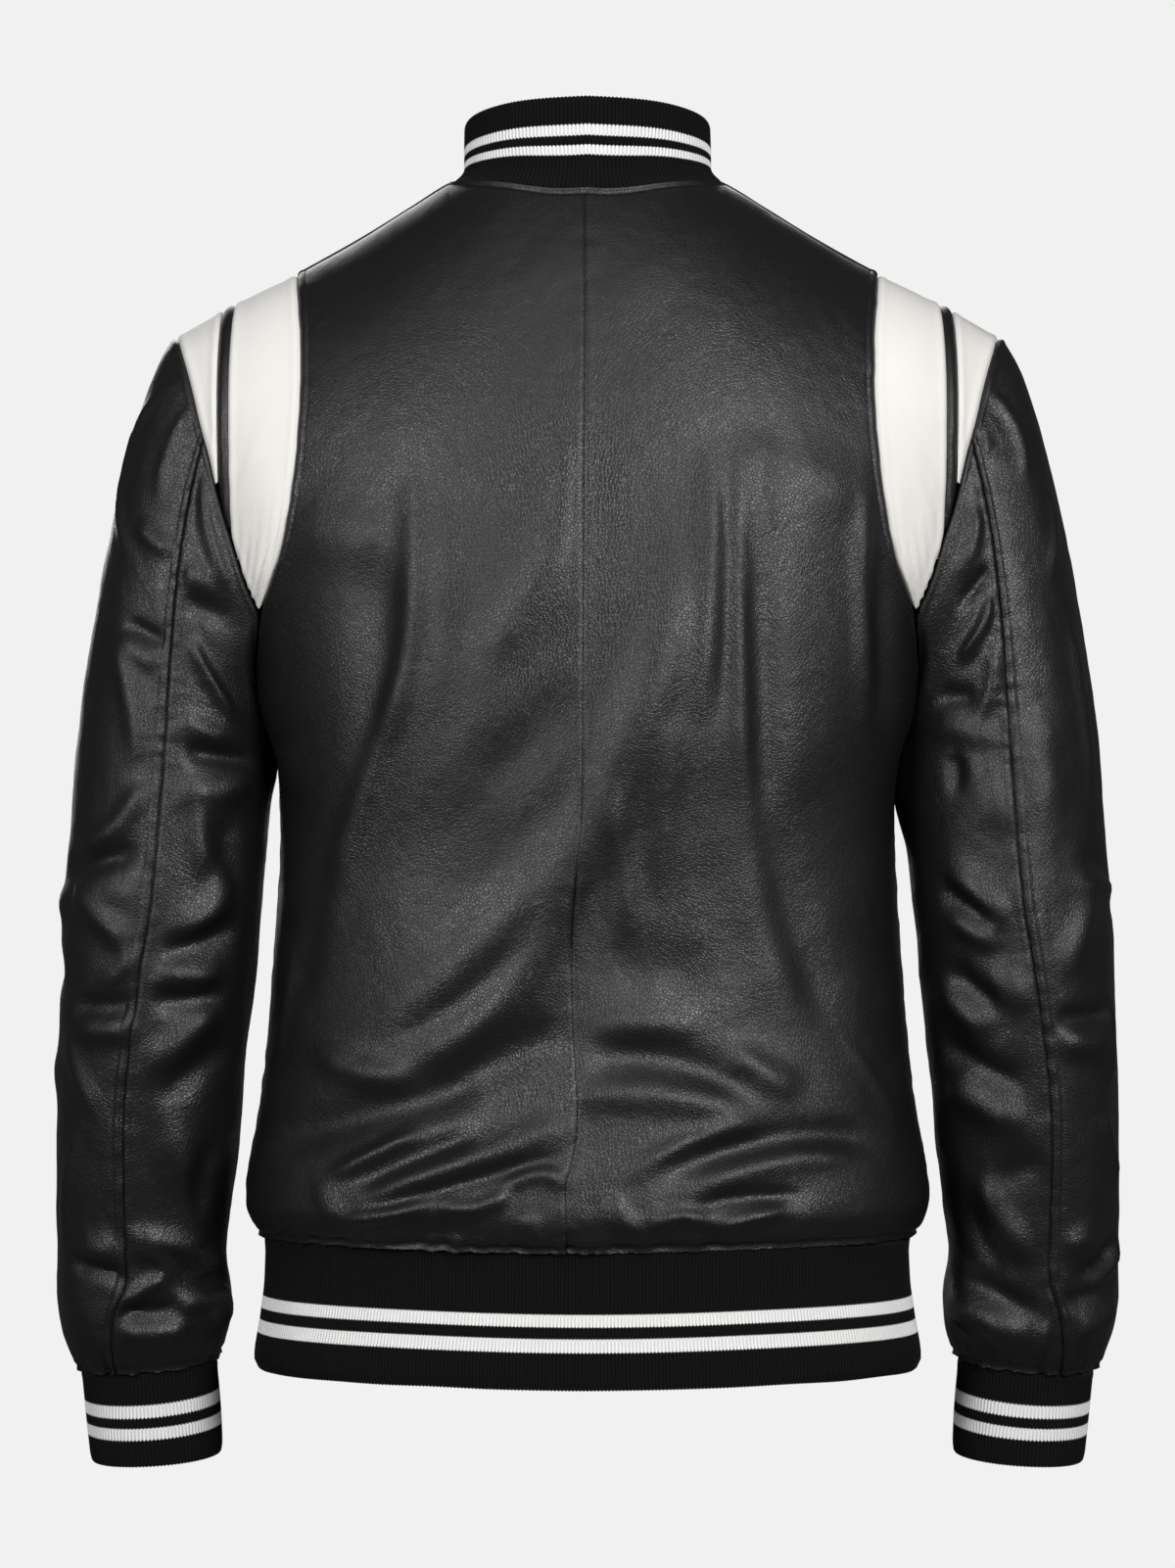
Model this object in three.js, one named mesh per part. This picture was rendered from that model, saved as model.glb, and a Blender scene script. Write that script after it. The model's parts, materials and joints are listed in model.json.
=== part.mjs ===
// A varsity jacket in black leather, with white shoulder insets and a rib-knit collar, cuffs and hem.
// It is filled out as when it is worn: arms hanging, front closed by snaps on a placket.
// Millimetres, +Z up. The front faces -Y and the wearer's left is +X.
// The origin is the middle of the neck's base, level with the neck ends of the shoulder seams.

import * as THREE from "three";

// Walls
const LEATHER = 2;
const RIB = 3;
const PLACKET = 1.8;
const SEAM_GAP = 0.3;

// Heights of the seams round the body
const HEM_EDGE = -675;
const HEM_SEAM = -599;
const ARMPIT = -300;

// The body's section is a rounded oval: 2 would be an ellipse, and more is squarer.
const OVAL = 2.35;
// The same for the arch that a lengthwise cut makes over the shoulder.
const BACK_ARCH = 2.2;
const CHEST_ARCH = 1.7;
const SHOULDER_ARCH = 2.1;

// The neck seam, seen from above
const NECK_WIDE = 79;
const NECK_BACK = 60;
const NECK_FRONT = 78;

// The body from the hem's edge to the armpits: half its width, and how far its back and front stand out.
const TORSO = [
  { z: -675, wide: 187.5, back: 121.5, front: 123.5 },
  { z: -668, wide: 190.5, back: 124, front: 126 },
  { z: -644, wide: 187, back: 121.5, front: 123.5 },
  { z: -622, wide: 184, back: 119, front: 121 },
  { z: -606, wide: 183.5, back: 119, front: 121 },
  { z: -599, wide: 185.5, back: 121, front: 123 },
  { z: -591, wide: 191.5, back: 128, front: 129 },
  { z: -578, wide: 195, back: 131.5, front: 132 },
  { z: -560, wide: 193.5, back: 130, front: 131 },
  { z: -540, wide: 189.5, back: 126, front: 128 },
  { z: -510, wide: 185, back: 121.5, front: 125.5 },
  { z: -476, wide: 181.5, back: 118, front: 123.5 },
  { z: -432, wide: 178.5, back: 117, front: 122.5 },
  { z: -398, wide: 176, back: 118, front: 122.5 },
  { z: -364, wide: 175, back: 121, front: 123 },
  { z: -335, wide: 176.5, back: 125.3, front: 124 },
  { z: -315, wide: 182, back: 127.6, front: 124.8 },
  { z: -300, wide: 190, back: 128, front: 125 },
];

// The top of the shoulder, from the middle of the neck outwards.
const RIDGE = [
  { x: 0, z: 23 },
  { x: 40, z: 17 },
  { x: 79, z: 0 },
  { x: 100, z: -13 },
  { x: 130, z: -31.5 },
  { x: 166, z: -51.5 },
  { x: 240, z: -91 },
];

// The armhole, by its share of the height from the armpit to the ridge: half the width of the form
// that the panels lie on, and how far out the seam runs on the back and the front.
const ARMHOLE = [
  { rise: 0, form: 190, back: 190, front: 190 },
  { rise: 0.05, form: 190.5, back: 188.9, front: 188.6 },
  { rise: 0.118, form: 191.5, back: 187.2, front: 186 },
  { rise: 0.221, form: 195.5, back: 184.5, front: 181.5 },
  { rise: 0.28, form: 199.5, back: 179.5, front: 175.5 },
  { rise: 0.35, form: 205, back: 173, front: 167.5 },
  { rise: 0.446, form: 212, back: 167.5, front: 161 },
  { rise: 0.528, form: 218, back: 164.5, front: 157 },
  { rise: 0.613, form: 223, back: 162.5, front: 155 },
  { rise: 0.711, form: 226, back: 161.3, front: 154.5 },
  { rise: 0.825, form: 228, back: 161.7, front: 156.5 },
  { rise: 0.926, form: 228, back: 164, front: 161.5 },
  { rise: 1, form: 228, back: 166, front: 166 },
];

// The seam round the head of the sleeve, from the top (way 0) down the back to the inset's tip (way 1).
const SLEEVE_HEAD = [
  { way: 0, x: 235, y: 0, z: -87 },
  { way: 0.1, x: 233, y: 16, z: -90 },
  { way: 0.2, x: 230.5, y: 28, z: -97 },
  { way: 0.3, x: 227, y: 38, z: -107.5 },
  { way: 0.4, x: 223.3, y: 46, z: -120.5 },
  { way: 0.5, x: 219, y: 53, z: -138 },
  { way: 0.6, x: 213.6, y: 57.5, z: -157 },
  { way: 0.7, x: 207.5, y: 60.5, z: -180 },
  { way: 0.8, x: 200.5, y: 61, z: -204 },
  { way: 0.9, x: 193, y: 58, z: -228 },
  { way: 1, x: 185, y: 51, z: -247 },
];

// The sleeve and cuff: the middle line, and half the width and depth across it.
const CUFF_EDGE = -731;
const CUFF_SEAM = -676;
const BICEP = -335;
const ARM = [
  { z: -731, x: 249.3, y: -40.5, wide: 37.6, deep: 36.4 },
  { z: -724, x: 249.7, y: -40, wide: 38.6, deep: 37.5 },
  { z: -700, x: 251.4, y: -37.5, wide: 38.6, deep: 37.4 },
  { z: -684, x: 252.7, y: -35.8, wide: 38.8, deep: 37.6 },
  { z: -676, x: 253.3, y: -35, wide: 40, deep: 38.6 },
  { z: -667, x: 254, y: -34, wide: 44.5, deep: 43.5 },
  { z: -652, x: 254.8, y: -32.4, wide: 49, deep: 48.5 },
  { z: -637, x: 255.6, y: -30.4, wide: 50.3, deep: 50.5 },
  { z: -612, x: 256.6, y: -26.5, wide: 48.8, deep: 50.5 },
  { z: -577, x: 254.9, y: -20, wide: 50.8, deep: 52 },
  { z: -543, x: 252.3, y: -14, wide: 52.6, deep: 54 },
  { z: -498, x: 249.3, y: -8, wide: 53.6, deep: 56 },
  { z: -465, x: 247, y: -4.5, wide: 55, deep: 57.5 },
  { z: -432, x: 244.6, y: -2, wide: 56.4, deep: 58.5 },
  { z: -398, x: 241.6, y: -0.5, wide: 56.4, deep: 59.5 },
  { z: -364, x: 238.9, y: -1, wide: 56.4, deep: 60.5 },
  { z: -335, x: 236.9, y: -2, wide: 56.6, deep: 61 },
];

// The seams along the sleeve: their angle round the arm, where 0 is outwards, 90 is the back.
const BACK_SEAM = [
  { z: -676, angle: 65 },
  { z: -640, angle: 73 },
  { z: -612, angle: 83 },
  { z: -570, angle: 80 },
  { z: -520, angle: 77 },
  { z: -465, angle: 81 },
  { z: -400, angle: 87 },
  { z: -335, angle: 88 },
];
const FRONT_SEAM_ANGLE = -100;

// Stations round the armhole: 9 from the top to the inset's tip, and 2 more to the armpit, each side.
const TIP_STATION = 9;
const PIT_STATION = 11;
const STATIONS = 2 * PIT_STATION;
const TIP_RISE = 0.221;
const BACK_SEAM_STATION = 5;
const FRONT_SEAM_STATION = -7;

// The upper edge of the collar: its height by the angle from the middle of the back.
const COLLAR_TOP = [
  { angle: 0, z: 45.5 },
  { angle: 30, z: 44 },
  { angle: 60, z: 40 },
  { angle: 90, z: 33 },
  { angle: 120, z: 17 },
  { angle: 150, z: -6 },
  { angle: 180, z: -20 },
];
const COLLAR = { wide: 70, back: 56.5, front: 67, standsAt: 0.3, opening: 0.6 };

// The black stripe in the white inset runs between two upright lines.
const STRIPE = { inner: 200.5, outer: 207.5 };
const INSET_BULGE = { top: 1.5, side: 6 };

// The largest folds of the leather. A fold runs from one end to the other on a bow, with a soft edge
// of the given width. It lifts the leather, or sinks it where lift is negative.
const BACK_FOLDS = [
  { x1: 103, z1: -200, x2: 146, z2: -446, bow: 22, width: 9, lift: 5.5 },
  { x1: 120, z1: -205, x2: 158, z2: -420, bow: 18, width: 13, lift: -5.5 },
  { x1: 149, z1: -492, x2: 0, z2: -372, bow: 4, width: 13, lift: 7 },
  { x1: 112, z1: -504, x2: 0, z2: -424, bow: 3, width: 9, lift: 4 },
  { x1: 96, z1: -524, x2: -6, z2: -476, bow: 3, width: 13, lift: -6 },
  { x1: 140, z1: -577, x2: 4, z2: -521, bow: 2, width: 9, lift: 6 },
  { x1: 140, z1: -548, x2: 60, z2: -528, bow: 2, width: 9, lift: -4 },
  { x1: 143, z1: -586, x2: 14, z2: -562, bow: 2, width: 6, lift: 4 },
  { x1: -66, z1: -196, x2: -48, z2: -364, bow: -8, width: 8, lift: 4.5 },
  { x1: -76, z1: -196, x2: -72, z2: -356, bow: -2, width: 7, lift: -4 },
  { x1: -84, z1: -158, x2: -88, z2: -372, bow: 0, width: 8, lift: 4 },
  { x1: -98, z1: -206, x2: -126, z2: -480, bow: 10, width: 14, lift: -6 },
  { x1: -54, z1: -226, x2: -2, z2: -404, bow: 6, width: 22, lift: 4 },
  { x1: -70, z1: -486, x2: -124, z2: -520, bow: 2, width: 9, lift: 4 },
  { x1: 2, z1: -502, x2: -106, z2: -520, bow: 4, width: 9, lift: -5 },
  { x1: 0, z1: -530, x2: -104, z2: -526, bow: 3, width: 10, lift: 6 },
  { x1: -22, z1: -556, x2: -112, z2: -540, bow: 3, width: 7, lift: -4 },
  { x1: -24, z1: -582, x2: -110, z2: -552, bow: 4, width: 8, lift: 5 },
];
const FRONT_FOLDS = [
  { x1: 128, z1: -190, x2: 66, z2: -380, bow: -14, width: 13, lift: 5 },
  { x1: 140, z1: -250, x2: 96, z2: -440, bow: -10, width: 14, lift: -5 },
  { x1: 150, z1: -480, x2: 40, z2: -540, bow: 6, width: 12, lift: 5 },
  { x1: 146, z1: -560, x2: 36, z2: -580, bow: -4, width: 8, lift: 4.5 },
  { x1: -124, z1: -180, x2: -60, z2: -360, bow: 12, width: 14, lift: 5 },
  { x1: -142, z1: -260, x2: -100, z2: -450, bow: 8, width: 13, lift: -5 },
  { x1: -152, z1: -500, x2: -46, z2: -530, bow: -6, width: 11, lift: 5 },
  { x1: -140, z1: -574, x2: -38, z2: -566, bow: 5, width: 8, lift: 4.5 },
];

// The same on a sleeve: a1 and a2 are angles round the arm, positive at the back.
const LEFT_SLEEVE_FOLDS = [
  { a1: 96, z1: -180, a2: 150, z2: -262, bow: 4, width: 9, lift: 4.5 },
  { a1: 92, z1: -240, a2: 124, z2: -300, bow: 3, width: 9, lift: 4 },
  { a1: 6, z1: -386, a2: 76, z2: -350, bow: 5, width: 9, lift: 5.5 },
  { a1: 22, z1: -392, a2: 86, z2: -376, bow: 0, width: 8, lift: -5 },
  { a1: 10, z1: -398, a2: 76, z2: -430, bow: -5, width: 8, lift: 5.5 },
  { a1: 4, z1: -428, a2: 72, z2: -442, bow: 0, width: 9, lift: -6 },
  { a1: 90, z1: -364, a2: 132, z2: -404, bow: 5, width: 9, lift: 5 },
  { a1: 80, z1: -440, a2: 138, z2: -410, bow: -3, width: 9, lift: -6 },
  { a1: 86, z1: -452, a2: 132, z2: -450, bow: 0, width: 8, lift: 4.5 },
  { a1: 78, z1: -474, a2: 132, z2: -466, bow: 2, width: 8, lift: -5 },
  { a1: 80, z1: -504, a2: 130, z2: -474, bow: 3, width: 9, lift: 5 },
  { a1: 30, z1: -480, a2: 74, z2: -470, bow: 0, width: 9, lift: 4.5 },
  { a1: 26, z1: -456, a2: 72, z2: -450, bow: 0, width: 8, lift: -4 },
  { a1: -6, z1: -614, a2: 86, z2: -622, bow: 3, width: 8, lift: -5.5 },
  { a1: 70, z1: -598, a2: 150, z2: -608, bow: 4, width: 8, lift: 5.5 },
  { a1: 72, z1: -642, a2: 132, z2: -638, bow: 0, width: 7, lift: -4 },
  { a1: -70, z1: -392, a2: -20, z2: -420, bow: 4, width: 10, lift: -5 },
  { a1: -120, z1: -414, a2: -50, z2: -440, bow: 4, width: 10, lift: 5.5 },
  { a1: -126, z1: -440, a2: -60, z2: -466, bow: 4, width: 10, lift: -5.5 },
  { a1: -110, z1: -610, a2: -30, z2: -626, bow: 3, width: 9, lift: -5 },
];
const RIGHT_SLEEVE_FOLDS = [
  { a1: 90, z1: -200, a2: 138, z2: -270, bow: 4, width: 9, lift: 4.5 },
  { a1: 94, z1: -262, a2: 130, z2: -318, bow: 2, width: 9, lift: -4 },
  { a1: 128, z1: -384, a2: 84, z2: -422, bow: 3, width: 8, lift: 5 },
  { a1: 132, z1: -404, a2: 94, z2: -438, bow: 3, width: 8, lift: -5.5 },
  { a1: 2, z1: -382, a2: 64, z2: -416, bow: 4, width: 10, lift: 5 },
  { a1: 0, z1: -404, a2: 64, z2: -440, bow: 3, width: 8, lift: -6 },
  { a1: 4, z1: -420, a2: 60, z2: -452, bow: 2, width: 8, lift: 5.5 },
  { a1: 4, z1: -478, a2: 64, z2: -484, bow: 0, width: 8, lift: -5 },
  { a1: 140, z1: -462, a2: 88, z2: -482, bow: 3, width: 9, lift: 4.5 },
  { a1: 146, z1: -484, a2: 88, z2: -514, bow: 3, width: 10, lift: -5.5 },
  { a1: 142, z1: -514, a2: 76, z2: -542, bow: 3, width: 11, lift: 5 },
  { a1: 124, z1: -560, a2: 74, z2: -616, bow: 3, width: 9, lift: 5.5 },
  { a1: 4, z1: -598, a2: 64, z2: -624, bow: 2, width: 8, lift: -5.5 },
  { a1: 152, z1: -618, a2: 92, z2: -640, bow: 3, width: 8, lift: -5 },
  { a1: 146, z1: -640, a2: 84, z2: -658, bow: 2, width: 7, lift: 4.5 },
  { a1: -66, z1: -384, a2: -16, z2: -414, bow: 4, width: 10, lift: -5 },
  { a1: -124, z1: -410, a2: -54, z2: -436, bow: 4, width: 10, lift: 5.5 },
  { a1: -118, z1: -436, a2: -52, z2: -464, bow: 4, width: 10, lift: -5.5 },
  { a1: -114, z1: -600, a2: -34, z2: -622, bow: 3, width: 9, lift: -5 },
];
const SLEEVE_RADIUS = 55;
const FOLD_FADE = 14;

// The placket and its snaps, on the middle of the front.
const PLACKET_HALF = 18;
const PLACKET_TOP = -73;
const SNAP = { count: 7, radius: 7.5, rise: 2.6, top: -108, bottom: -655, sides: 14 };

// Grid steps
const NECK_ANGLES = [0, 18, 36, 54, 72, 90];
const SHOULDER_COLUMNS = 7;
const BLOUSE_TOP = -519;
const BLOUSE_ROWS = 8;
const WAIST_ROWS = 9;
const CAP_ROWS = 8;
const ARM_ROWS = 22;

const radians = THREE.MathUtils.degToRad;
const mix = THREE.MathUtils.lerp;

// One column of a table at a place between its rows, on a smooth curve that never overshoots.
function read(table, key, at, column) {
  const last = table.length - 1;
  const place = THREE.MathUtils.clamp(at, table[0][key], table[last][key]);
  let i = 0;
  while (i < last - 1 && table[i + 1][key] < place) i++;
  const rise = (k) => (table[k + 1][column] - table[k][column]) / (table[k + 1][key] - table[k][key]);
  const slope = (k) => {
    if (k === 0) return rise(0);
    if (k === last) return rise(last - 1);
    const before = rise(k - 1);
    const after = rise(k);
    return before * after <= 0 ? 0 : (2 * before * after) / (before + after);
  };
  const span = table[i + 1][key] - table[i][key];
  const t = (place - table[i][key]) / span;
  const t2 = t * t;
  const t3 = t2 * t;
  return (
    (2 * t3 - 3 * t2 + 1) * table[i][column] +
    (t3 - 2 * t2 + t) * span * slope(i) +
    (3 * t2 - 2 * t3) * table[i + 1][column] +
    (t3 - t2) * span * slope(i + 1)
  );
}

const power = (value, exponent) => Math.sign(value) * Math.abs(value) ** exponent;
const soft = (t) => THREE.MathUtils.smoothstep(t, 0, 1);

// How far a list of folds lifts the leather at a place, given in millimetres across and up.
function foldLift(folds, across, up) {
  let sum = 0;
  for (const { from, to, bow, width, lift } of folds) {
    const [dx, dz] = [to[0] - from[0], to[1] - from[1]];
    const length = Math.hypot(dx, dz);
    const [px, pz] = [across - from[0], up - from[1]];
    const t = (px * dx + pz * dz) / length ** 2;
    if (t <= 0 || t >= 1) continue;
    const away = (pz * dx - px * dz) / length - 4 * bow * t * (1 - t);
    const taper = Math.sqrt(4 * t * (1 - t));
    sum += lift * soft(taper) * Math.exp(-((away / width) ** 2));
  }
  return sum;
}

const flatFolds = (rows) => rows.map((r) => ({ ...r, from: [r.x1, r.z1], to: [r.x2, r.z2] }));
const arc = (angle) => radians(angle) * SLEEVE_RADIUS;
const roundFolds = (rows) => rows.map((r) => ({ ...r, from: [arc(r.a1), r.z1], to: [arc(r.a2), r.z2] }));
const BODY_FOLDS = { back: flatFolds(BACK_FOLDS), front: flatFolds(FRONT_FOLDS) };
const SLEEVE_FOLDS = { left: roundFolds(LEFT_SLEEVE_FOLDS), right: roundFolds(RIGHT_SLEEVE_FOLDS) };

// A point of the body below the armpits. share is 0 at the middle and 1 at the side seam.
function torsoPoint(face, share, z) {
  const turn = radians(90 * share);
  const x = read(TORSO, "z", z, "wide") * power(Math.sin(turn), 2 / OVAL);
  const y = read(TORSO, "z", z, face) * power(Math.cos(turn), 2 / OVAL);
  return new THREE.Vector3(x, face === "back" ? y : -y, z);
}

// A point of the body above the armpits. lean is the angle up the arch: 0 at the armpit, 90 on the ridge.
function shoulderPoint(face, share, lean) {
  const base = TORSO[TORSO.length - 1][face];
  const archAt = (x) =>
    face === "back" ? BACK_ARCH : mix(CHEST_ARCH, SHOULDER_ARCH, soft(x / NECK_WIDE));
  const rise = Math.sin(radians(lean)) ** (2 / BACK_ARCH);
  const form = read(ARMHOLE, "rise", rise, "form");
  const edge = Math.asin(Math.min(1, (read(ARMHOLE, "rise", rise, face) / form) ** (OVAL / 2)));
  const x = form * power(Math.sin(share * edge), 2 / OVAL);
  const arch = archAt(x);
  const out = base * power(Math.cos(share * edge), 2 / OVAL) * (1 - Math.min(1, rise) ** arch) ** (1 / arch);
  const z = ARMPIT + rise * (read(RIDGE, "x", x, "z") - ARMPIT);
  return new THREE.Vector3(x, face === "back" ? out : -out, z);
}

// How far up the arch a column of the body goes: to the neck seam, or to the ridge beyond it.
function topLean(face, share) {
  const deep = face === "back" ? NECK_BACK : NECK_FRONT;
  const outside = (lean) => {
    const p = shoulderPoint(face, share, lean);
    return (p.x / NECK_WIDE) ** 2 + (p.y / deep) ** 2 > 1;
  };
  if (outside(90)) return 90;
  let [low, high] = [0, 90];
  for (let step = 0; step < 40; step++) {
    const middle = (low + high) / 2;
    if (outside(middle)) low = middle;
    else high = middle;
  }
  return low;
}

// The share of the width at which a column meets the neck seam, by its angle round the neck.
function neckShare(angle) {
  const form = ARMHOLE[ARMHOLE.length - 1];
  const edge = Math.asin((form.back / form.form) ** (OVAL / 2));
  return Math.asin(((NECK_WIDE * Math.sin(radians(angle))) / form.form) ** (OVAL / 2)) / edge;
}

const tipLean = THREE.MathUtils.radToDeg(Math.asin(TIP_RISE ** (BACK_ARCH / 2)));

// The lean at a station of the armhole, counted from the top.
function stationLean(station) {
  if (station <= TIP_STATION) return mix(90, tipLean, station / TIP_STATION);
  return mix(tipLean, 0, (station - TIP_STATION) / (PIT_STATION - TIP_STATION));
}

// The surface of the body: up counts from 0 at the hem seam to 1 at the armpit and 2 at the top.
function bodyPoint(face, share, up) {
  if (up <= 1) return torsoPoint(face, share, mix(HEM_SEAM, ARMPIT, up));
  return shoulderPoint(face, share, ((up - 1) * topLean(face, share)));
}

// The outward direction of a surface at a place, from two short steps along it.
function outward(surface, u, v, turn, reach = 1e-3, limits = [0, 1, 0, 2]) {
  const [u0, u1, v0, v1] = limits;
  const a = surface(Math.max(u0, u - reach), v);
  const b = surface(Math.min(u1, u + reach), v);
  const c = surface(u, Math.max(v0, v - reach));
  const d = surface(u, Math.min(v1, v + reach));
  return b.sub(a).cross(d.sub(c)).multiplyScalar(turn).normalize();
}

// A place on the body with its outward direction, mirrored for the right side and folded.
function bodyPlace(face, side, share, up) {
  const surface = (u, v) => bodyPoint(face, u, v);
  const point = surface(share, up);
  const normal = outward(surface, share, up, face === "back" ? -1 : 1);
  if (share === 0) normal.x = 0;
  if (side === "right") {
    point.x *= -1;
    normal.x *= -1;
  }
  const edgeRoom = Math.min(1, (1 - share) * 190 / FOLD_FADE) * Math.min(1, (point.z - HEM_SEAM) / FOLD_FADE);
  const topRoom = Math.min(1, (2 - up) * 8);
  const lift = foldLift(BODY_FOLDS[face], point.x, point.z) * soft(edgeRoom) * soft(topRoom);
  return { point: point.addScaledVector(normal, lift), normal };
}

// The armhole seam on the body, at a station from 0 at the top to 11 at the armpit.
function armholePlace(face, station) {
  const lean = stationLean(station);
  const surface = (u, v) => shoulderPoint(face, u, v);
  const normal = outward(surface, 1, lean, face === "back" ? -1 : 1, 0.05, [0, 1, 0, 90]);
  return { point: surface(1, lean), normal };
}

// The seam round the head of the sleeve: stations are positive at the back and negative at the front.
function headPoint(station) {
  const wrapped = station > PIT_STATION ? station - STATIONS : station;
  const face = wrapped < 0 ? "front" : "back";
  const count = Math.abs(wrapped);
  if (count >= TIP_STATION) return armholePlace(face, count).point;
  const way = count / TIP_STATION;
  const [x, y, z] = ["x", "y", "z"].map((column) => read(SLEEVE_HEAD, "way", way, column));
  const point = new THREE.Vector3(x, wrapped < 0 ? -y : y, z);
  const end = SLEEVE_HEAD[SLEEVE_HEAD.length - 1];
  const tableEnd = new THREE.Vector3(end.x, wrapped < 0 ? -end.y : end.y, end.z);
  const miss = armholePlace(face, TIP_STATION).point.sub(tableEnd);
  return point.addScaledVector(miss, soft((way - 0.5) / 0.5));
}

// The angle round the arm that a column takes on the straight part of the sleeve.
function armAngle(station, z) {
  const back = read(BACK_SEAM, "z", z, "angle");
  const topColumns = BACK_SEAM_STATION - FRONT_SEAM_STATION;
  if (station <= BACK_SEAM_STATION) {
    return mix(FRONT_SEAM_ANGLE, back, (station - FRONT_SEAM_STATION) / topColumns);
  }
  return mix(back, FRONT_SEAM_ANGLE + 360, (station - BACK_SEAM_STATION) / (STATIONS - topColumns));
}

// A point of the straight part of the sleeve, or of the cuff, on a ring square to the middle line.
function armPoint(angle, z) {
  const middle = (at) => new THREE.Vector3(...["x", "y"].map((c) => read(ARM, "z", at, c)), at);
  const along = middle(Math.max(CUFF_EDGE, z - 8)).sub(middle(Math.min(BICEP, z + 8))).normalize();
  const across = new THREE.Vector3(1, 0, 0).addScaledVector(along, -along.x).normalize();
  const toBack = new THREE.Vector3().crossVectors(across, along);
  return middle(z)
    .addScaledVector(across, read(ARM, "z", z, "wide") * Math.cos(radians(angle)))
    .addScaledVector(toBack, read(ARM, "z", z, "deep") * Math.sin(radians(angle)));
}

// The surface of the sleeve: down counts from 0 at its head to 1 at the bicep and 2 at the cuff seam.
function sleevePoint(station, down) {
  if (down >= 1) {
    const z = mix(BICEP, CUFF_SEAM, down - 1);
    return armPoint(armAngle(station, z), z);
  }
  const start = headPoint(station);
  const angle = armAngle(station, BICEP);
  const end = armPoint(angle, BICEP);
  const turn = radians(angle);
  const outer = Math.max(0, Math.cos(turn));
  const reach = start.distanceTo(end) / 3;
  const leave = new THREE.Vector3(
    0.95 * outer + 0.25 * Math.abs(Math.sin(turn)) + 0.6 * Math.max(0, -Math.cos(turn)),
    0.1 * Math.sin(turn),
    -1 + 0.62 * outer,
  ).normalize();
  const arrive = armPoint(angle, BICEP - 2).sub(end).normalize();
  const curve = new THREE.CubicBezierCurve3(
    start,
    start.clone().addScaledVector(leave, reach * (1 - 0.72 * outer)),
    end.clone().addScaledVector(arrive, -reach * (1 - 0.25 * outer)),
    end,
  );
  return curve.getPoint(down);
}

function sleevePlace(side, station, down) {
  const limits = [FRONT_SEAM_STATION, FRONT_SEAM_STATION + STATIONS, 0, 2];
  const point = sleevePoint(station, down);
  const normal = outward(sleevePoint, station, down, -1, 5e-3, limits);
  const angle = armAngle(station, Math.max(CUFF_SEAM, Math.min(BICEP, point.z)));
  const wrapped = angle > 180 ? angle - 360 : angle;
  const room = Math.min(down * 5, (2 - down) * 12, 1);
  const lift = foldLift(SLEEVE_FOLDS[side], arc(wrapped), point.z) * soft(room);
  point.addScaledVector(normal, lift);
  if (side === "right") {
    point.x *= -1;
    normal.x *= -1;
  }
  return { point, normal };
}

// A place on the shoulder inset. way is a station round the armhole, across is 0 at the body, 1 at the sleeve.
// Between stations the seams run straight, as the edges of the panels beside them do.
function insetPlace(side, way, across) {
  const seam = (station) => {
    const face = station < 0 ? "front" : "back";
    const body = armholePlace(face, Math.abs(station));
    const sleeve = sleevePoint(station, 0);
    const limits = [FRONT_SEAM_STATION, FRONT_SEAM_STATION + STATIONS, 0, 2];
    const sleeveNormal = outward(sleevePoint, station, 0, -1, 5e-3, limits);
    return { body: body.point, sleeve, from: body.normal, to: sleeveNormal };
  };
  const low = Math.floor(way);
  const [a, b] = [seam(low), seam(Math.min(low + 1, TIP_STATION))];
  const between = (key) => a[key].clone().lerp(b[key], way - low);
  const normal = between("from").normalize().lerp(between("to").normalize(), across).normalize();
  const bulge = mix(INSET_BULGE.top, INSET_BULGE.side, soft(Math.abs(way) / 5));
  const narrow = between("body").distanceTo(between("sleeve")) / 72;
  const point = between("body").lerp(between("sleeve"), across);
  point.addScaledVector(normal, bulge * 4 * across * (1 - across) * Math.min(1, narrow));
  if (side === "right") {
    point.x *= -1;
    normal.x *= -1;
  }
  return { point, normal };
}

// How far across the inset an upright line lies at a station.
function lineAcross(x, way) {
  const [body, sleeve] = [insetPlace("left", way, 0).point, insetPlace("left", way, 1).point];
  return (x - body.x) / (sleeve.x - body.x);
}

// The station at which an upright line runs out into the sleeve's seam.
function lineEnd(x, sign) {
  let way = 0;
  while (way < TIP_STATION - 0.3 && lineAcross(x, sign * (way + 0.05)) < 0.96) way += 0.05;
  return way;
}

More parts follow.
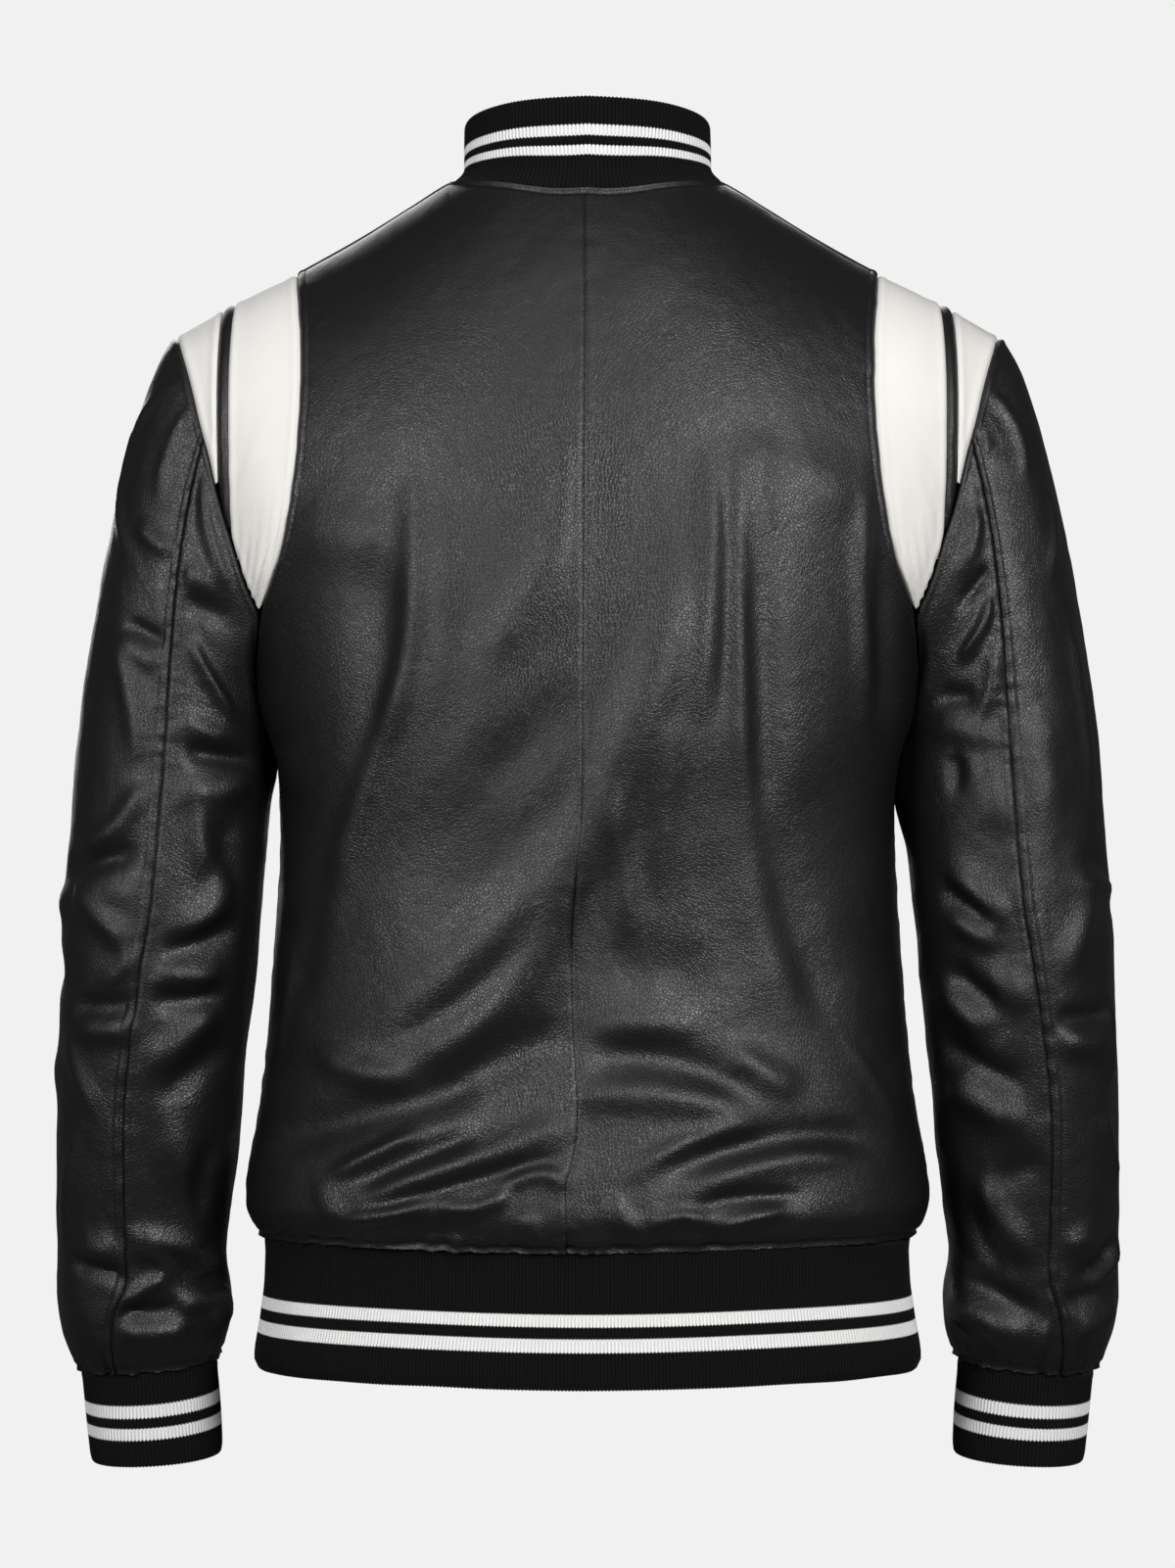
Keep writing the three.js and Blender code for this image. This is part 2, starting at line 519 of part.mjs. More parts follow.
// Draws the edges of a grid of places inwards by half the seam gap, so that neighbours stay apart.
function trimEdges(grid, ring) {
  const rows = grid.length;
  const columns = grid[0].length;
  const moves = grid.map((row) => row.map(() => new THREE.Vector3()));
  const wrap = (c) => (ring ? (c + columns) % columns : THREE.MathUtils.clamp(c, 0, columns - 1));
  const hold = (r) => THREE.MathUtils.clamp(r, 0, rows - 1);
  const pull = (r, c, before, after, inside) => {
    const { point, normal } = grid[r][c];
    const along = after.point.clone().sub(before.point);
    const inwards = normal.clone().cross(along).normalize();
    if (inwards.dot(inside.point.clone().sub(point)) < 0) inwards.negate();
    moves[r][c].addScaledVector(inwards, SEAM_GAP / 2);
  };
  for (let c = 0; c < columns; c++) {
    const [before, after] = [wrap(c - 1), wrap(c + 1)];
    pull(0, c, grid[0][before], grid[0][after], grid[1][c]);
    pull(rows - 1, c, grid[rows - 1][before], grid[rows - 1][after], grid[rows - 2][c]);
  }
  for (let r = 0; r < rows && !ring; r++) {
    const [before, after] = [grid[hold(r - 1)], grid[hold(r + 1)]];
    pull(r, 0, before[0], after[0], grid[r][1]);
    pull(r, columns - 1, before[columns - 1], after[columns - 1], grid[r][columns - 2]);
  }
  grid.forEach((row, r) => row.forEach((place, c) => place.point.add(moves[r][c])));
}

// A closed wall from a grid of outer places. Its inner face lies straight behind them.
function wallGeometry(grid, thickness, ring = false) {
  trimEdges(grid, ring);
  const rows = grid.length;
  const columns = grid[0].length;
  const positions = [];
  for (const depth of [0, thickness]) {
    for (const { point, normal } of grid.flat()) {
      positions.push(...point.clone().addScaledVector(normal, -depth).toArray());
    }
  }
  const inner = rows * columns;
  const at = (r, c) => r * columns + (c % columns);
  const faces = [];
  const quad = (a, b, c, d) => faces.push(a, b, c, a, c, d);
  const spans = ring ? columns : columns - 1;
  for (let r = 0; r < rows - 1; r++) {
    for (let c = 0; c < spans; c++) {
      const [p, q, s, t] = [at(r, c), at(r, c + 1), at(r + 1, c + 1), at(r + 1, c)];
      quad(p, q, s, t);
      quad(inner + t, inner + s, inner + q, inner + p);
    }
  }
  for (let c = 0; c < spans; c++) {
    quad(at(0, c + 1), at(0, c), inner + at(0, c), inner + at(0, c + 1));
    const r = rows - 1;
    quad(at(r, c), at(r, c + 1), inner + at(r, c + 1), inner + at(r, c));
  }
  for (let r = 0; r < rows - 1 && !ring; r++) {
    quad(at(r, 0), at(r + 1, 0), inner + at(r + 1, 0), inner + at(r, 0));
    const c = columns - 1;
    quad(at(r + 1, c), at(r, c), inner + at(r, c), inner + at(r + 1, c));
  }
  const geometry = new THREE.BufferGeometry();
  geometry.setAttribute("position", new THREE.Float32BufferAttribute(positions, 3));
  geometry.setIndex(volumeOf(positions, faces) < 0 ? turnedOver(faces) : faces);
  geometry.computeVertexNormals();
  return geometry;
}

// The same triangles in the same order, each seen from its other side.
function turnedOver(faces) {
  return faces.map((_, i) => faces[i % 3 === 1 ? i + 1 : i % 3 === 2 ? i - 1 : i]);
}

function volumeOf(positions, faces) {
  const corner = (i) => new THREE.Vector3().fromArray(positions, 3 * i);
  let sum = 0;
  for (let i = 0; i < faces.length; i += 3) {
    sum += corner(faces[i]).dot(corner(faces[i + 1]).cross(corner(faces[i + 2])));
  }
  return sum / 6;
}

const blackLeather = new THREE.MeshStandardMaterial({ color: 0x1b1b1c, roughness: 0.42, metalness: 0 });
const whiteLeather = new THREE.MeshStandardMaterial({ color: 0xf0ebe2, roughness: 0.65, metalness: 0 });
const blackRib = new THREE.MeshStandardMaterial({ color: 0x111111, roughness: 0.95, metalness: 0 });
const snapMetal = new THREE.MeshStandardMaterial({ color: 0x2a2a2c, roughness: 0.3, metalness: 0.9 });

const jacket = new THREE.Group();

function add(name, geometry, material) {
  const mesh = new THREE.Mesh(geometry, material);
  mesh.name = name;
  jacket.add(mesh);
  return mesh;
}

const steps = (from, to, count) => Array.from({ length: count + 1 }, (_, i) => mix(from, to, i / count));

// The columns of a body panel: closer together under the neck, so that the collar sits on their ends.
const neckShares = NECK_ANGLES.map(neckShare);
const shares = [...neckShares, ...steps(neckShare(90), 1, SHOULDER_COLUMNS).slice(1)];
const upOf = (z) => (z - HEM_SEAM) / (ARMPIT - HEM_SEAM);
const stationUps = steps(PIT_STATION, 0, PIT_STATION).map((station) => 1 + stationLean(station) / 90);
const ups = [
  ...steps(0, upOf(BLOUSE_TOP), BLOUSE_ROWS),
  ...steps(upOf(BLOUSE_TOP), 1, WAIST_ROWS).slice(1, -1),
  ...stationUps,
];

for (const side of ["left", "right"]) {
  for (const face of ["back", "front"]) {
    const grid = ups.map((up) => shares.map((share) => bodyPlace(face, side, share, up)));
    add(`${face}_${side}`, wallGeometry(grid, LEATHER), blackLeather);
  }
}

// The white inset of each shoulder, with a black stripe let into it.
function insetGrid(side, low, high, ends, columns) {
  const whole = steps(-TIP_STATION, TIP_STATION, 2 * TIP_STATION);
  const ways = [-ends.front, ...whole.filter((w) => w > -ends.front && w < ends.back), ends.back];
  return ways.map((way) => steps(0, 1, columns).map((t) => insetPlace(side, way, mix(low(way), high(way), t))));
}
const atBody = () => 0;
const atSleeve = () => 1;
const stripeInner = (way) => Math.min(1, lineAcross(STRIPE.inner, way));
const stripeOuter = (way) => Math.min(1, lineAcross(STRIPE.outer, way));
const tips = { front: TIP_STATION - 0.3, back: TIP_STATION - 0.3 };
const innerEnds = { front: lineEnd(STRIPE.inner, -1), back: lineEnd(STRIPE.inner, 1) };
const outerEnds = { front: lineEnd(STRIPE.outer, -1), back: lineEnd(STRIPE.outer, 1) };
for (const side of ["left", "right"]) {
  add(`inset_${side}`, wallGeometry(insetGrid(side, atBody, stripeInner, tips, 3), LEATHER), whiteLeather);
  add(`stripe_${side}`, wallGeometry(insetGrid(side, stripeInner, stripeOuter, innerEnds, 1), LEATHER), blackLeather);
  add(`inset_outer_${side}`, wallGeometry(insetGrid(side, stripeOuter, atSleeve, outerEnds, 2), LEATHER), whiteLeather);
}

// Sleeves in two pieces, the outer from the front seam over the arm to the back seam.
const downs = [...steps(0, 1, CAP_ROWS), ...steps(1, 2, ARM_ROWS).slice(1)];
const outerStations = steps(FRONT_SEAM_STATION, BACK_SEAM_STATION, BACK_SEAM_STATION - FRONT_SEAM_STATION);
const innerEnd = FRONT_SEAM_STATION + STATIONS;
const innerStations = steps(BACK_SEAM_STATION, innerEnd, innerEnd - BACK_SEAM_STATION);
for (const side of ["left", "right"]) {
  const gridOf = (stations) => downs.map((down) => stations.map((station) => sleevePlace(side, station, down)));
  add(`sleeve_outer_${side}`, wallGeometry(gridOf(outerStations), LEATHER), blackLeather);
  add(`sleeve_under_${side}`, wallGeometry(gridOf(innerStations), LEATHER), blackLeather);
}

// Cuffs: tubes of rib below the sleeves.
const CUFF_ROWS = 4;
for (const side of ["left", "right"]) {
  const place = (station, z) => {
    const surface = (u, v) => armPoint(armAngle(u, CUFF_SEAM), v);
    const limits = [FRONT_SEAM_STATION, innerEnd, CUFF_EDGE, CUFF_SEAM];
    const normal = outward(surface, station, z, 1, 0.05, limits);
    const point = surface(station, z);
    if (side === "right") {
      point.x *= -1;
      normal.x *= -1;
    }
    return { point, normal };
  };
  const stations = steps(FRONT_SEAM_STATION, innerEnd, STATIONS).slice(0, -1);
  const grid = steps(CUFF_SEAM, CUFF_EDGE, CUFF_ROWS).map((z) => stations.map((s) => place(s, z)));
  add(`cuff_${side}`, wallGeometry(grid, RIB, true), blackRib);
}

// A walk round the body from the middle of the front, by the left side and the back, to the front again.
function walkRound(columns, place) {
  const there = columns.map((share) => ["front", "left", share]);
  const back = [...columns].reverse();
  const round = [
    ...there,
    ...back.map((share) => ["back", "left", share]).slice(1),
    ...columns.map((share) => ["back", "right", share]).slice(1),
    ...back.map((share) => ["front", "right", share]).slice(1),
  ];
  return round.map(([face, side, share]) => place(face, side, share));
}

// The hem: one band of rib, open at the middle of the front.
const HEM_ROWS = 4;
function hemPlace(face, side, share, z) {
  const surface = (u, v) => torsoPoint(face, u, v);
  const point = surface(share, z);
  const normal = outward(surface, share, z, face === "back" ? -1 : 1, 1e-3, [0, 1, HEM_EDGE, HEM_SEAM]);
  if (share === 0) normal.x = 0;
  if (side === "right") {
    point.x *= -1;
    normal.x *= -1;
  }
  return { point, normal };
}
const hemGrid = steps(HEM_SEAM, HEM_EDGE, HEM_ROWS).map((z) =>
  walkRound(shares, (face, side, share) => hemPlace(face, side, share, z)),
);
add("hem", wallGeometry(hemGrid, RIB), blackRib);

// The collar: a band of rib that stands on the neck seam, leans in a little and drops to the front.
const COLLAR_ROWS = 4;
function collarPlace(face, side, share, rise) {
  const foot = bodyPoint(face, share, 2);
  const deep = face === "back" ? NECK_BACK : NECK_FRONT;
  const angle = Math.atan2(foot.x / NECK_WIDE, foot.y / deep);
  const stand = (1 - Math.min(1, rise / COLLAR.standsAt)) ** 2;
  const topDeep = face === "back" ? COLLAR.back : COLLAR.front;
  const rim = new THREE.Vector3(
    COLLAR.wide * Math.sin(angle),
    topDeep * Math.cos(angle),
    read(COLLAR_TOP, "angle", THREE.MathUtils.radToDeg(angle), "z"),
  );
  const point = new THREE.Vector3(
    mix(rim.x, foot.x, stand),
    mix(rim.y, foot.y, stand),
    mix(foot.z, rim.z, rise),
  );
  const normal = new THREE.Vector3(Math.sin(angle) / NECK_WIDE, Math.cos(angle) / deep, 0).normalize();
  if (side === "right") {
    point.x *= -1;
    normal.x *= -1;
  }
  return { point, normal };
}
const collarGrid = steps(0, 1, COLLAR_ROWS).map((rise) =>
  walkRound(neckShares, (face, side, share) => collarPlace(face, side, share, rise ** 1.3)),
);
add("collar", wallGeometry(collarGrid, RIB), blackRib);

// The placket: a strip on the fronts and the hem, made from their own points moved outwards.
const PLACKET_LIFT = 0.45;
const firstColumn = shares[1];
function placketRow(middle, beside) {
  const t = PLACKET_HALF / beside.point.x;
  const normal = middle.normal.clone().lerp(beside.normal, t).normalize();
  const point = middle.point.clone().lerp(beside.point, t);
  const raise = (place) => ({
    point: place.point.clone().addScaledVector(place.normal, PLACKET_LIFT + PLACKET),
    normal: place.normal,
  });
  const mirror = ({ point: p, normal: n }) => ({
    point: new THREE.Vector3(-p.x, p.y, p.z),
    normal: new THREE.Vector3(-n.x, n.y, n.z),
  });
  return [raise(mirror({ point, normal })), raise(middle), raise({ point, normal })];
}
const placketUps = [...ups].reverse().filter((up) => up > 1e-6 && bodyPoint("front", 0, up).z < PLACKET_TOP);
const placketGrid = [
  ...placketUps.map((up) =>
    placketRow(bodyPlace("front", "left", 0, up), bodyPlace("front", "left", firstColumn, up)),
  ),
  ...steps(HEM_SEAM, HEM_EDGE, HEM_ROWS).map((z) =>
    placketRow(hemPlace("front", "left", 0, z), hemPlace("front", "left", firstColumn, z)),
  ),
];
add("placket", wallGeometry(placketGrid, PLACKET), blackLeather);

// Snap caps, evenly spaced down the placket.
const snapProfile = [
  [0, 0],
  [SNAP.radius, 0],
  [SNAP.radius, SNAP.rise * 0.45],
  [SNAP.radius * 0.7, SNAP.rise * 0.9],
  [0, SNAP.rise],
].map(([x, y]) => new THREE.Vector2(x, y));
const placketMiddle = placketGrid.map((row) => row[1]);
function placketAt(z) {
  const i = placketMiddle.findIndex((place) => place.point.z <= z);
  const [above, below] = [placketMiddle[i - 1], placketMiddle[i]];
  const t = (above.point.z - z) / (above.point.z - below.point.z);
  const point = above.point.clone().lerp(below.point, t);
  const along = below.point.clone().sub(above.point);
  return { point, normal: new THREE.Vector3(0, along.z, -along.y).normalize() };
}
for (let i = 0; i < SNAP.count; i++) {
  const { point, normal } = placketAt(mix(SNAP.top, SNAP.bottom, i / (SNAP.count - 1)));
  const snap = add(`snap_${i + 1}`, new THREE.LatheGeometry(snapProfile, SNAP.sides), snapMetal);
  snap.position.copy(point).addScaledVector(normal, 2 * SEAM_GAP);
  snap.quaternion.setFromUnitVectors(new THREE.Vector3(0, 1, 0), normal);
}

export default jacket;
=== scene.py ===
# %% [markdown]
# # A leather varsity jacket
# The jacket is filled out as if it were worn, with its back to the camera. Black leather is cut in
# panels, a white inset with a black stripe runs over each shoulder, and the collar, cuffs and hem are
# rib knit with two white stripes. The solids of the frame already have the jacket's true form. Here
# each panel is laid over its solid again with many more points, so that it can have soft folds,
# rolled seams, stitches and knitted ribs.

import json
import math

import bpy
import numpy as np
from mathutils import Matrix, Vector

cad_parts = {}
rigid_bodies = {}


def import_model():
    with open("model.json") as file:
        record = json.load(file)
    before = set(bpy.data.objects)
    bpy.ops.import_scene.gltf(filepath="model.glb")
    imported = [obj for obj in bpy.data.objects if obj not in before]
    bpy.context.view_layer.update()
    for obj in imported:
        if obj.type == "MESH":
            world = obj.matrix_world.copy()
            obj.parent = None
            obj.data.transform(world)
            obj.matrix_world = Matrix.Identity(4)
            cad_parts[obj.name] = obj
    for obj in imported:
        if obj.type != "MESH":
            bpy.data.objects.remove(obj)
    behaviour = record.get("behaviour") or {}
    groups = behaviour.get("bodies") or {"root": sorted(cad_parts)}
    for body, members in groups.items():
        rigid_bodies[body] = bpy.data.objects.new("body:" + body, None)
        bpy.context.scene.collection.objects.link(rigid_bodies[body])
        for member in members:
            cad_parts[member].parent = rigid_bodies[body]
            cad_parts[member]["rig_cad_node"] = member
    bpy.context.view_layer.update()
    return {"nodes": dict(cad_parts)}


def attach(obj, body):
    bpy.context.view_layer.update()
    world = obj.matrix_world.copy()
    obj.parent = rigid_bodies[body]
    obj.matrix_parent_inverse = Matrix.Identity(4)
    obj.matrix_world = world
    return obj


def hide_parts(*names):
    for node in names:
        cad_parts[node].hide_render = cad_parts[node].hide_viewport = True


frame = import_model()
print("panels and trims in the frame:", len(frame["nodes"]))

# %% [markdown]
# ## The cut, as tables
# A garment's form is easiest to hold in a few tables: how wide and deep the body is at each height,
# where the shoulder slopes, and where the armhole runs. All lengths are millimetres until a mesh is
# made. A smooth curve through the rows, one that never swings past them, gives every height between.


# %% A table with named columns, and the curve through its rows
def table(names, *rows):
    return dict(zip(names.split(), np.array(rows, float).T))


def read(rows, at, column):
    x, y = rows[next(iter(rows))], rows[column]
    at = np.clip(at, x[0], x[-1])
    i = np.clip(np.searchsorted(x, at, side="right") - 1, 0, len(x) - 2)
    rise = np.diff(y) / np.diff(x)
    both = rise[:-1] * rise[1:]
    inner = np.where(both > 0, 2 * both / np.where(both > 0, rise[:-1] + rise[1:], 1), 0)
    slope = np.concatenate([rise[:1], inner, rise[-1:]])
    span = x[i + 1] - x[i]
    t = (at - x[i]) / span
    return (
        (2 * t**3 - 3 * t**2 + 1) * y[i]
        + (t**3 - 2 * t**2 + t) * span * slope[i]
        + (3 * t**2 - 2 * t**3) * y[i + 1]
        + (t**3 - t**2) * span * slope[i + 1]
    )


def mix(a, b, t):
    return a + (b - a) * t


def soft(t):
    t = np.clip(t, 0, 1)
    return t * t * (3 - 2 * t)


def bell(distance, wide, at=0.0):
    """One at a given distance, and fading on both sides."""
    return np.exp(-(((distance - at) / wide) ** 2))


def power(value, exponent):
    return np.sign(value) * np.abs(value) ** exponent


ramp_rows = table("at height", (0, 0), (1, 10), (3, 12))
print("the curve halfway up its first step:", read(ramp_rows, 0.5, "height").round(2))

# %% The jacket's measurements
# Thickness of leather and knit, and the gap between sewn edges
LEATHER, RIB, GAP = 2.0, 3.0, 0.3
# Heights of the edges and seams
HEM_EDGE, HEM_SEAM, ARMPIT = -675, -599, -300
CUFF_EDGE, CUFF_SEAM, BICEP = -731, -676, -335
# How square the body's section and the arch over the shoulder are: 2 would be an ellipse
OVAL, BACK_ARCH, CHEST_ARCH, SHOULDER_ARCH = 2.35, 2.2, 1.7, 2.1
# Half the width and the depths of the neck seam, and of the collar's rim
NECK_WIDE, NECK_BACK, NECK_FRONT = 79, 60, 78
RIM_WIDE, RIM_BACK, RIM_FRONT = 70, 56.5, 67
TORSO = table(
    "z wide back front",
    (-675, 187.5, 121.5, 123.5),
    (-668, 190.5, 124, 126),
    (-644, 187, 121.5, 123.5),
    (-622, 184, 119, 121),
    (-606, 183.5, 119, 121),
    (-599, 185.5, 121, 123),
    (-591, 191.5, 128, 129),
    (-578, 195, 131.5, 132),
    (-560, 193.5, 130, 131),
    (-540, 189.5, 126, 128),
    (-510, 185, 121.5, 125.5),
    (-476, 181.5, 118, 123.5),
    (-432, 178.5, 117, 122.5),
    (-398, 176, 118, 122.5),
    (-364, 175, 121, 123),
    (-335, 176.5, 125.3, 124),
    (-315, 182, 127.6, 124.8),
    (-300, 190, 128, 125),
)
RIDGE = table("x z", (0, 23), (40, 17), (79, 0), (100, -13), (130, -31.5), (166, -51.5), (240, -91))
ARMHOLE = table(
    "rise form back front",
    (0, 190, 190, 190),
    (0.05, 190.5, 188.9, 188.6),
    (0.118, 191.5, 187.2, 186),
    (0.221, 195.5, 184.5, 181.5),
    (0.28, 199.5, 179.5, 175.5),
    (0.35, 205, 173, 167.5),
    (0.446, 212, 167.5, 161),
    (0.528, 218, 164.5, 157),
    (0.613, 223, 162.5, 155),
    (0.711, 226, 161.3, 154.5),
    (0.825, 228, 161.7, 156.5),
    (0.926, 228, 164, 161.5),
    (1, 228, 166, 166),
)
SLEEVE_HEAD = table(
    "way x y z",
    (0, 235, 0, -87),
    (0.1, 233, 16, -90),
    (0.2, 230.5, 28, -97),
    (0.3, 227, 38, -107.5),
    (0.4, 223.3, 46, -120.5),
    (0.5, 219, 53, -138),
    (0.6, 213.6, 57.5, -157),
    (0.7, 207.5, 60.5, -180),
    (0.8, 200.5, 61, -204),
    (0.9, 193, 58, -228),
    (1, 185, 51, -247),
)
ARM = table(
    "z x y wide deep",
    (-731, 249.3, -40.5, 37.6, 36.4),
    (-724, 249.7, -40, 38.6, 37.5),
    (-700, 251.4, -37.5, 38.6, 37.4),
    (-684, 252.7, -35.8, 38.8, 37.6),
    (-676, 253.3, -35, 40, 38.6),
    (-667, 254, -34, 44.5, 43.5),
    (-652, 254.8, -32.4, 49, 48.5),
    (-637, 255.6, -30.4, 50.3, 50.5),
    (-612, 256.6, -26.5, 48.8, 50.5),
    (-577, 254.9, -20, 50.8, 52),
    (-543, 252.3, -14, 52.6, 54),
    (-498, 249.3, -8, 53.6, 56),
    (-465, 247, -4.5, 55, 57.5),
    (-432, 244.6, -2, 56.4, 58.5),
    (-398, 241.6, -0.5, 56.4, 59.5),
    (-364, 238.9, -1, 56.4, 60.5),
    (-335, 236.9, -2, 56.6, 61),
)
# The middle seam of the back wanders a little to the wearer's left.
MIDDLE_SEAM = table(
    "z drift",
    (-599, 11.5),
    (-567, 12),
    (-553, 9.5),
    (-532, 5.5),
    (-506, 6.5),
    (-471, 8.5),
    (-436, 8.5),
    (-393, 6),
    (-358, 3.5),
    (-260, 2.4),
    (-90, 1.7),
    (0, 1.7),
)
BACK_SEAM = table(
    "z angle",
    (-676, 65),
    (-640, 73),
    (-612, 83),
    (-570, 80),
    (-520, 77),
    (-465, 81),
    (-400, 87),
    (-335, 88),
)
COLLAR_TOP = table(
    "angle z", (0, 45.5), (30, 44), (60, 40), (90, 33), (120, 17), (150, -6), (180, -20)
)
FRONT_SEAM_ANGLE = -100
# Stations round the armhole: the inset's tip, the armpit, and the sleeve's two seams
TIP, PIT, BACK_STATION, FRONT_STATION = 9, 11, 5, -7
# The tip's share of the height from the armpit to the top of the shoulder
TIP_RISE = 0.221
print("body rows:", len(TORSO["z"]), "arm rows:", len(ARM["z"]))

# %% [markdown]
# ## The form of the body
# Below the armpits the body is a stack of rounded ovals. Above them it closes over the shoulder like
# an arch, whose ridge is the shoulder seam. A place is named by its share of the half width, from the
# middle to the side seam, and by how far up it is: 0 at the hem, 1 at the armpit, 2 at the top.


# %% Points below the armpits
def place(x, y, z):
    return np.stack(np.broadcast_arrays(x, y, z), -1).astype(float)


# The hem hangs lower at the middle of the back: how much, from what height, over what height, how wide
DIP, DIP_FROM, DIP_OVER, DIP_WIDE = 2.6, -520, 80, 100


def torso(face, share, z):
    turn = np.pi / 2 * share
    low = soft((DIP_FROM - z) / DIP_OVER) * (DIP if face == "back" else 0)
    x = read(TORSO, z, "wide") * power(np.sin(turn), 2 / OVAL)
    y = read(TORSO, z, face) * power(np.abs(np.cos(turn)), 2 / OVAL)
    return place(x, y if face == "back" else -y, z - low * bell(x, DIP_WIDE))


side_seam = torso("back", np.array([1.0]), np.array([float(HEM_SEAM)]))[0]
print("the side seam meets the hem at", side_seam.round(1))


# %% Points over the shoulder
def shoulder(face, share, lean):
    rise = np.sin(np.radians(lean)) ** (2 / BACK_ARCH)
    form = read(ARMHOLE, rise, "form")
    edge = np.arcsin(np.minimum(1, (read(ARMHOLE, rise, face) / form) ** (OVAL / 2)))
    x = form * power(np.sin(share * edge), 2 / OVAL)
    arch = BACK_ARCH if face == "back" else mix(CHEST_ARCH, SHOULDER_ARCH, soft(x / NECK_WIDE))
    out = TORSO[face][-1] * power(np.abs(np.cos(share * edge)), 2 / OVAL)
    out = out * np.maximum(0, 1 - np.minimum(1, rise) ** arch) ** (1 / arch)
    z = ARMPIT + rise * (read(RIDGE, x, "z") - ARMPIT)
    return place(x, out if face == "back" else -out, z)


def top_lean(face, share):
    deep = NECK_BACK if face == "back" else NECK_FRONT

    def outside(lean):
        x, y, _ = np.moveaxis(shoulder(face, share, lean), -1, 0)
        return (x / NECK_WIDE) ** 2 + (y / deep) ** 2 > 1

    low, high = np.zeros_like(share), np.full_like(share, 90.0)
    ridge = outside(high)
    for _ in range(40):
        middle = (low + high) / 2
        out = outside(middle)
        low, high = np.where(out, middle, low), np.where(out, high, middle)
    return np.where(ridge, 90, low)


def body(face, shares, ups):
    share, up = np.meshgrid(shares, ups)
    low = torso(face, share, mix(HEM_SEAM, ARMPIT, np.minimum(up, 1)))
    high = shoulder(face, share, np.maximum(up - 1, 0) * top_lean(face, shares)[None, :])
    return np.where(up[..., None] <= 1, low, high)


def neck_share(angle):
    edge = math.asin((ARMHOLE["back"][-1] / ARMHOLE["form"][-1]) ** (OVAL / 2))
    reach = NECK_WIDE * np.sin(np.radians(angle)) / ARMHOLE["form"][-1]
    return np.arcsin(reach ** (OVAL / 2)) / edge


print("the neck seam crosses the back at", body("back", np.array([0.0]), np.array([2.0])).round(1)[0, 0])

# %% Points round the armhole
TIP_LEAN = math.degrees(math.asin(TIP_RISE ** (BACK_ARCH / 2)))


def station_lean(station):
    lower = (station - TIP) / (PIT - TIP)
    return np.where(station <= TIP, mix(90, TIP_LEAN, station / TIP), mix(TIP_LEAN, 0, lower))


def armhole(face, station):
    return shoulder(face, np.ones_like(station), station_lean(station))


print("the armpit lies at", armhole("back", np.array([float(PIT)])).round(1)[0])


# %% [markdown]
# ## The form of a sleeve
# A sleeve starts from the seam round its head, turns down over the shoulder in one smooth bend, and
# goes on as a tube round the arm's middle line. A station is a place round the armhole, positive
# behind and negative in front, and down counts 0 at the head, 1 at the bicep and 2 at the cuff.


# %% Points round the sleeve's head
def head(station):
    wrapped = np.where(station > PIT, station - 2 * PIT, station)
    count, front = np.abs(wrapped), (wrapped < 0)[..., None]
    under = np.where(front, armhole("front", count), armhole("back", count))
    way = np.minimum(count / TIP, 1)
    turn = np.where(wrapped < 0, -1, 1)
    x, y, z = (read(SLEEVE_HEAD, way, column) for column in "xyz")
    over = place(x, turn * y, z)
    tip = np.full_like(count, float(TIP))
    miss = np.where(front, armhole("front", tip), armhole("back", tip))
    miss = miss - place(SLEEVE_HEAD["x"][-1], turn * SLEEVE_HEAD["y"][-1], SLEEVE_HEAD["z"][-1])
    over = over + miss * soft((way - 0.5) / 0.5)[..., None]
    return np.where((count >= TIP)[..., None], under, over)


print("the head of the sleeve starts at", head(np.array([0.0])).round(1)[0])


# %% Points round the arm, for the sleeve and the cuff
def unit(vectors):
    return vectors / np.maximum(np.linalg.norm(vectors, axis=-1, keepdims=True), 1e-9)


def arm(angle, z):
    def middle(at):
        return place(read(ARM, at, "x"), read(ARM, at, "y"), at)

    along = unit(middle(np.maximum(CUFF_EDGE, z - 8)) - middle(np.minimum(BICEP, z + 8)))
    across = unit(np.array([1.0, 0, 0]) - along * along[..., :1])
    to_back = np.cross(across, along)
    wide = read(ARM, z, "wide") * np.cos(np.radians(angle))
    deep = read(ARM, z, "deep") * np.sin(np.radians(angle))
    return middle(z) + across * wide[..., None] + to_back * deep[..., None]


def arm_angle(station, z):
    back = read(BACK_SEAM, z, "angle")
    over = mix(FRONT_SEAM_ANGLE, back, (station - FRONT_STATION) / (BACK_STATION - FRONT_STATION))
    rest = (station - BACK_STATION) / (2 * PIT + FRONT_STATION - BACK_STATION)
    return np.where(station <= BACK_STATION, over, mix(back, FRONT_SEAM_ANGLE + 360, rest))


print("the outer edge of the elbow is at", arm(np.array([0.0]), np.array([-465.0])).round(1)[0])


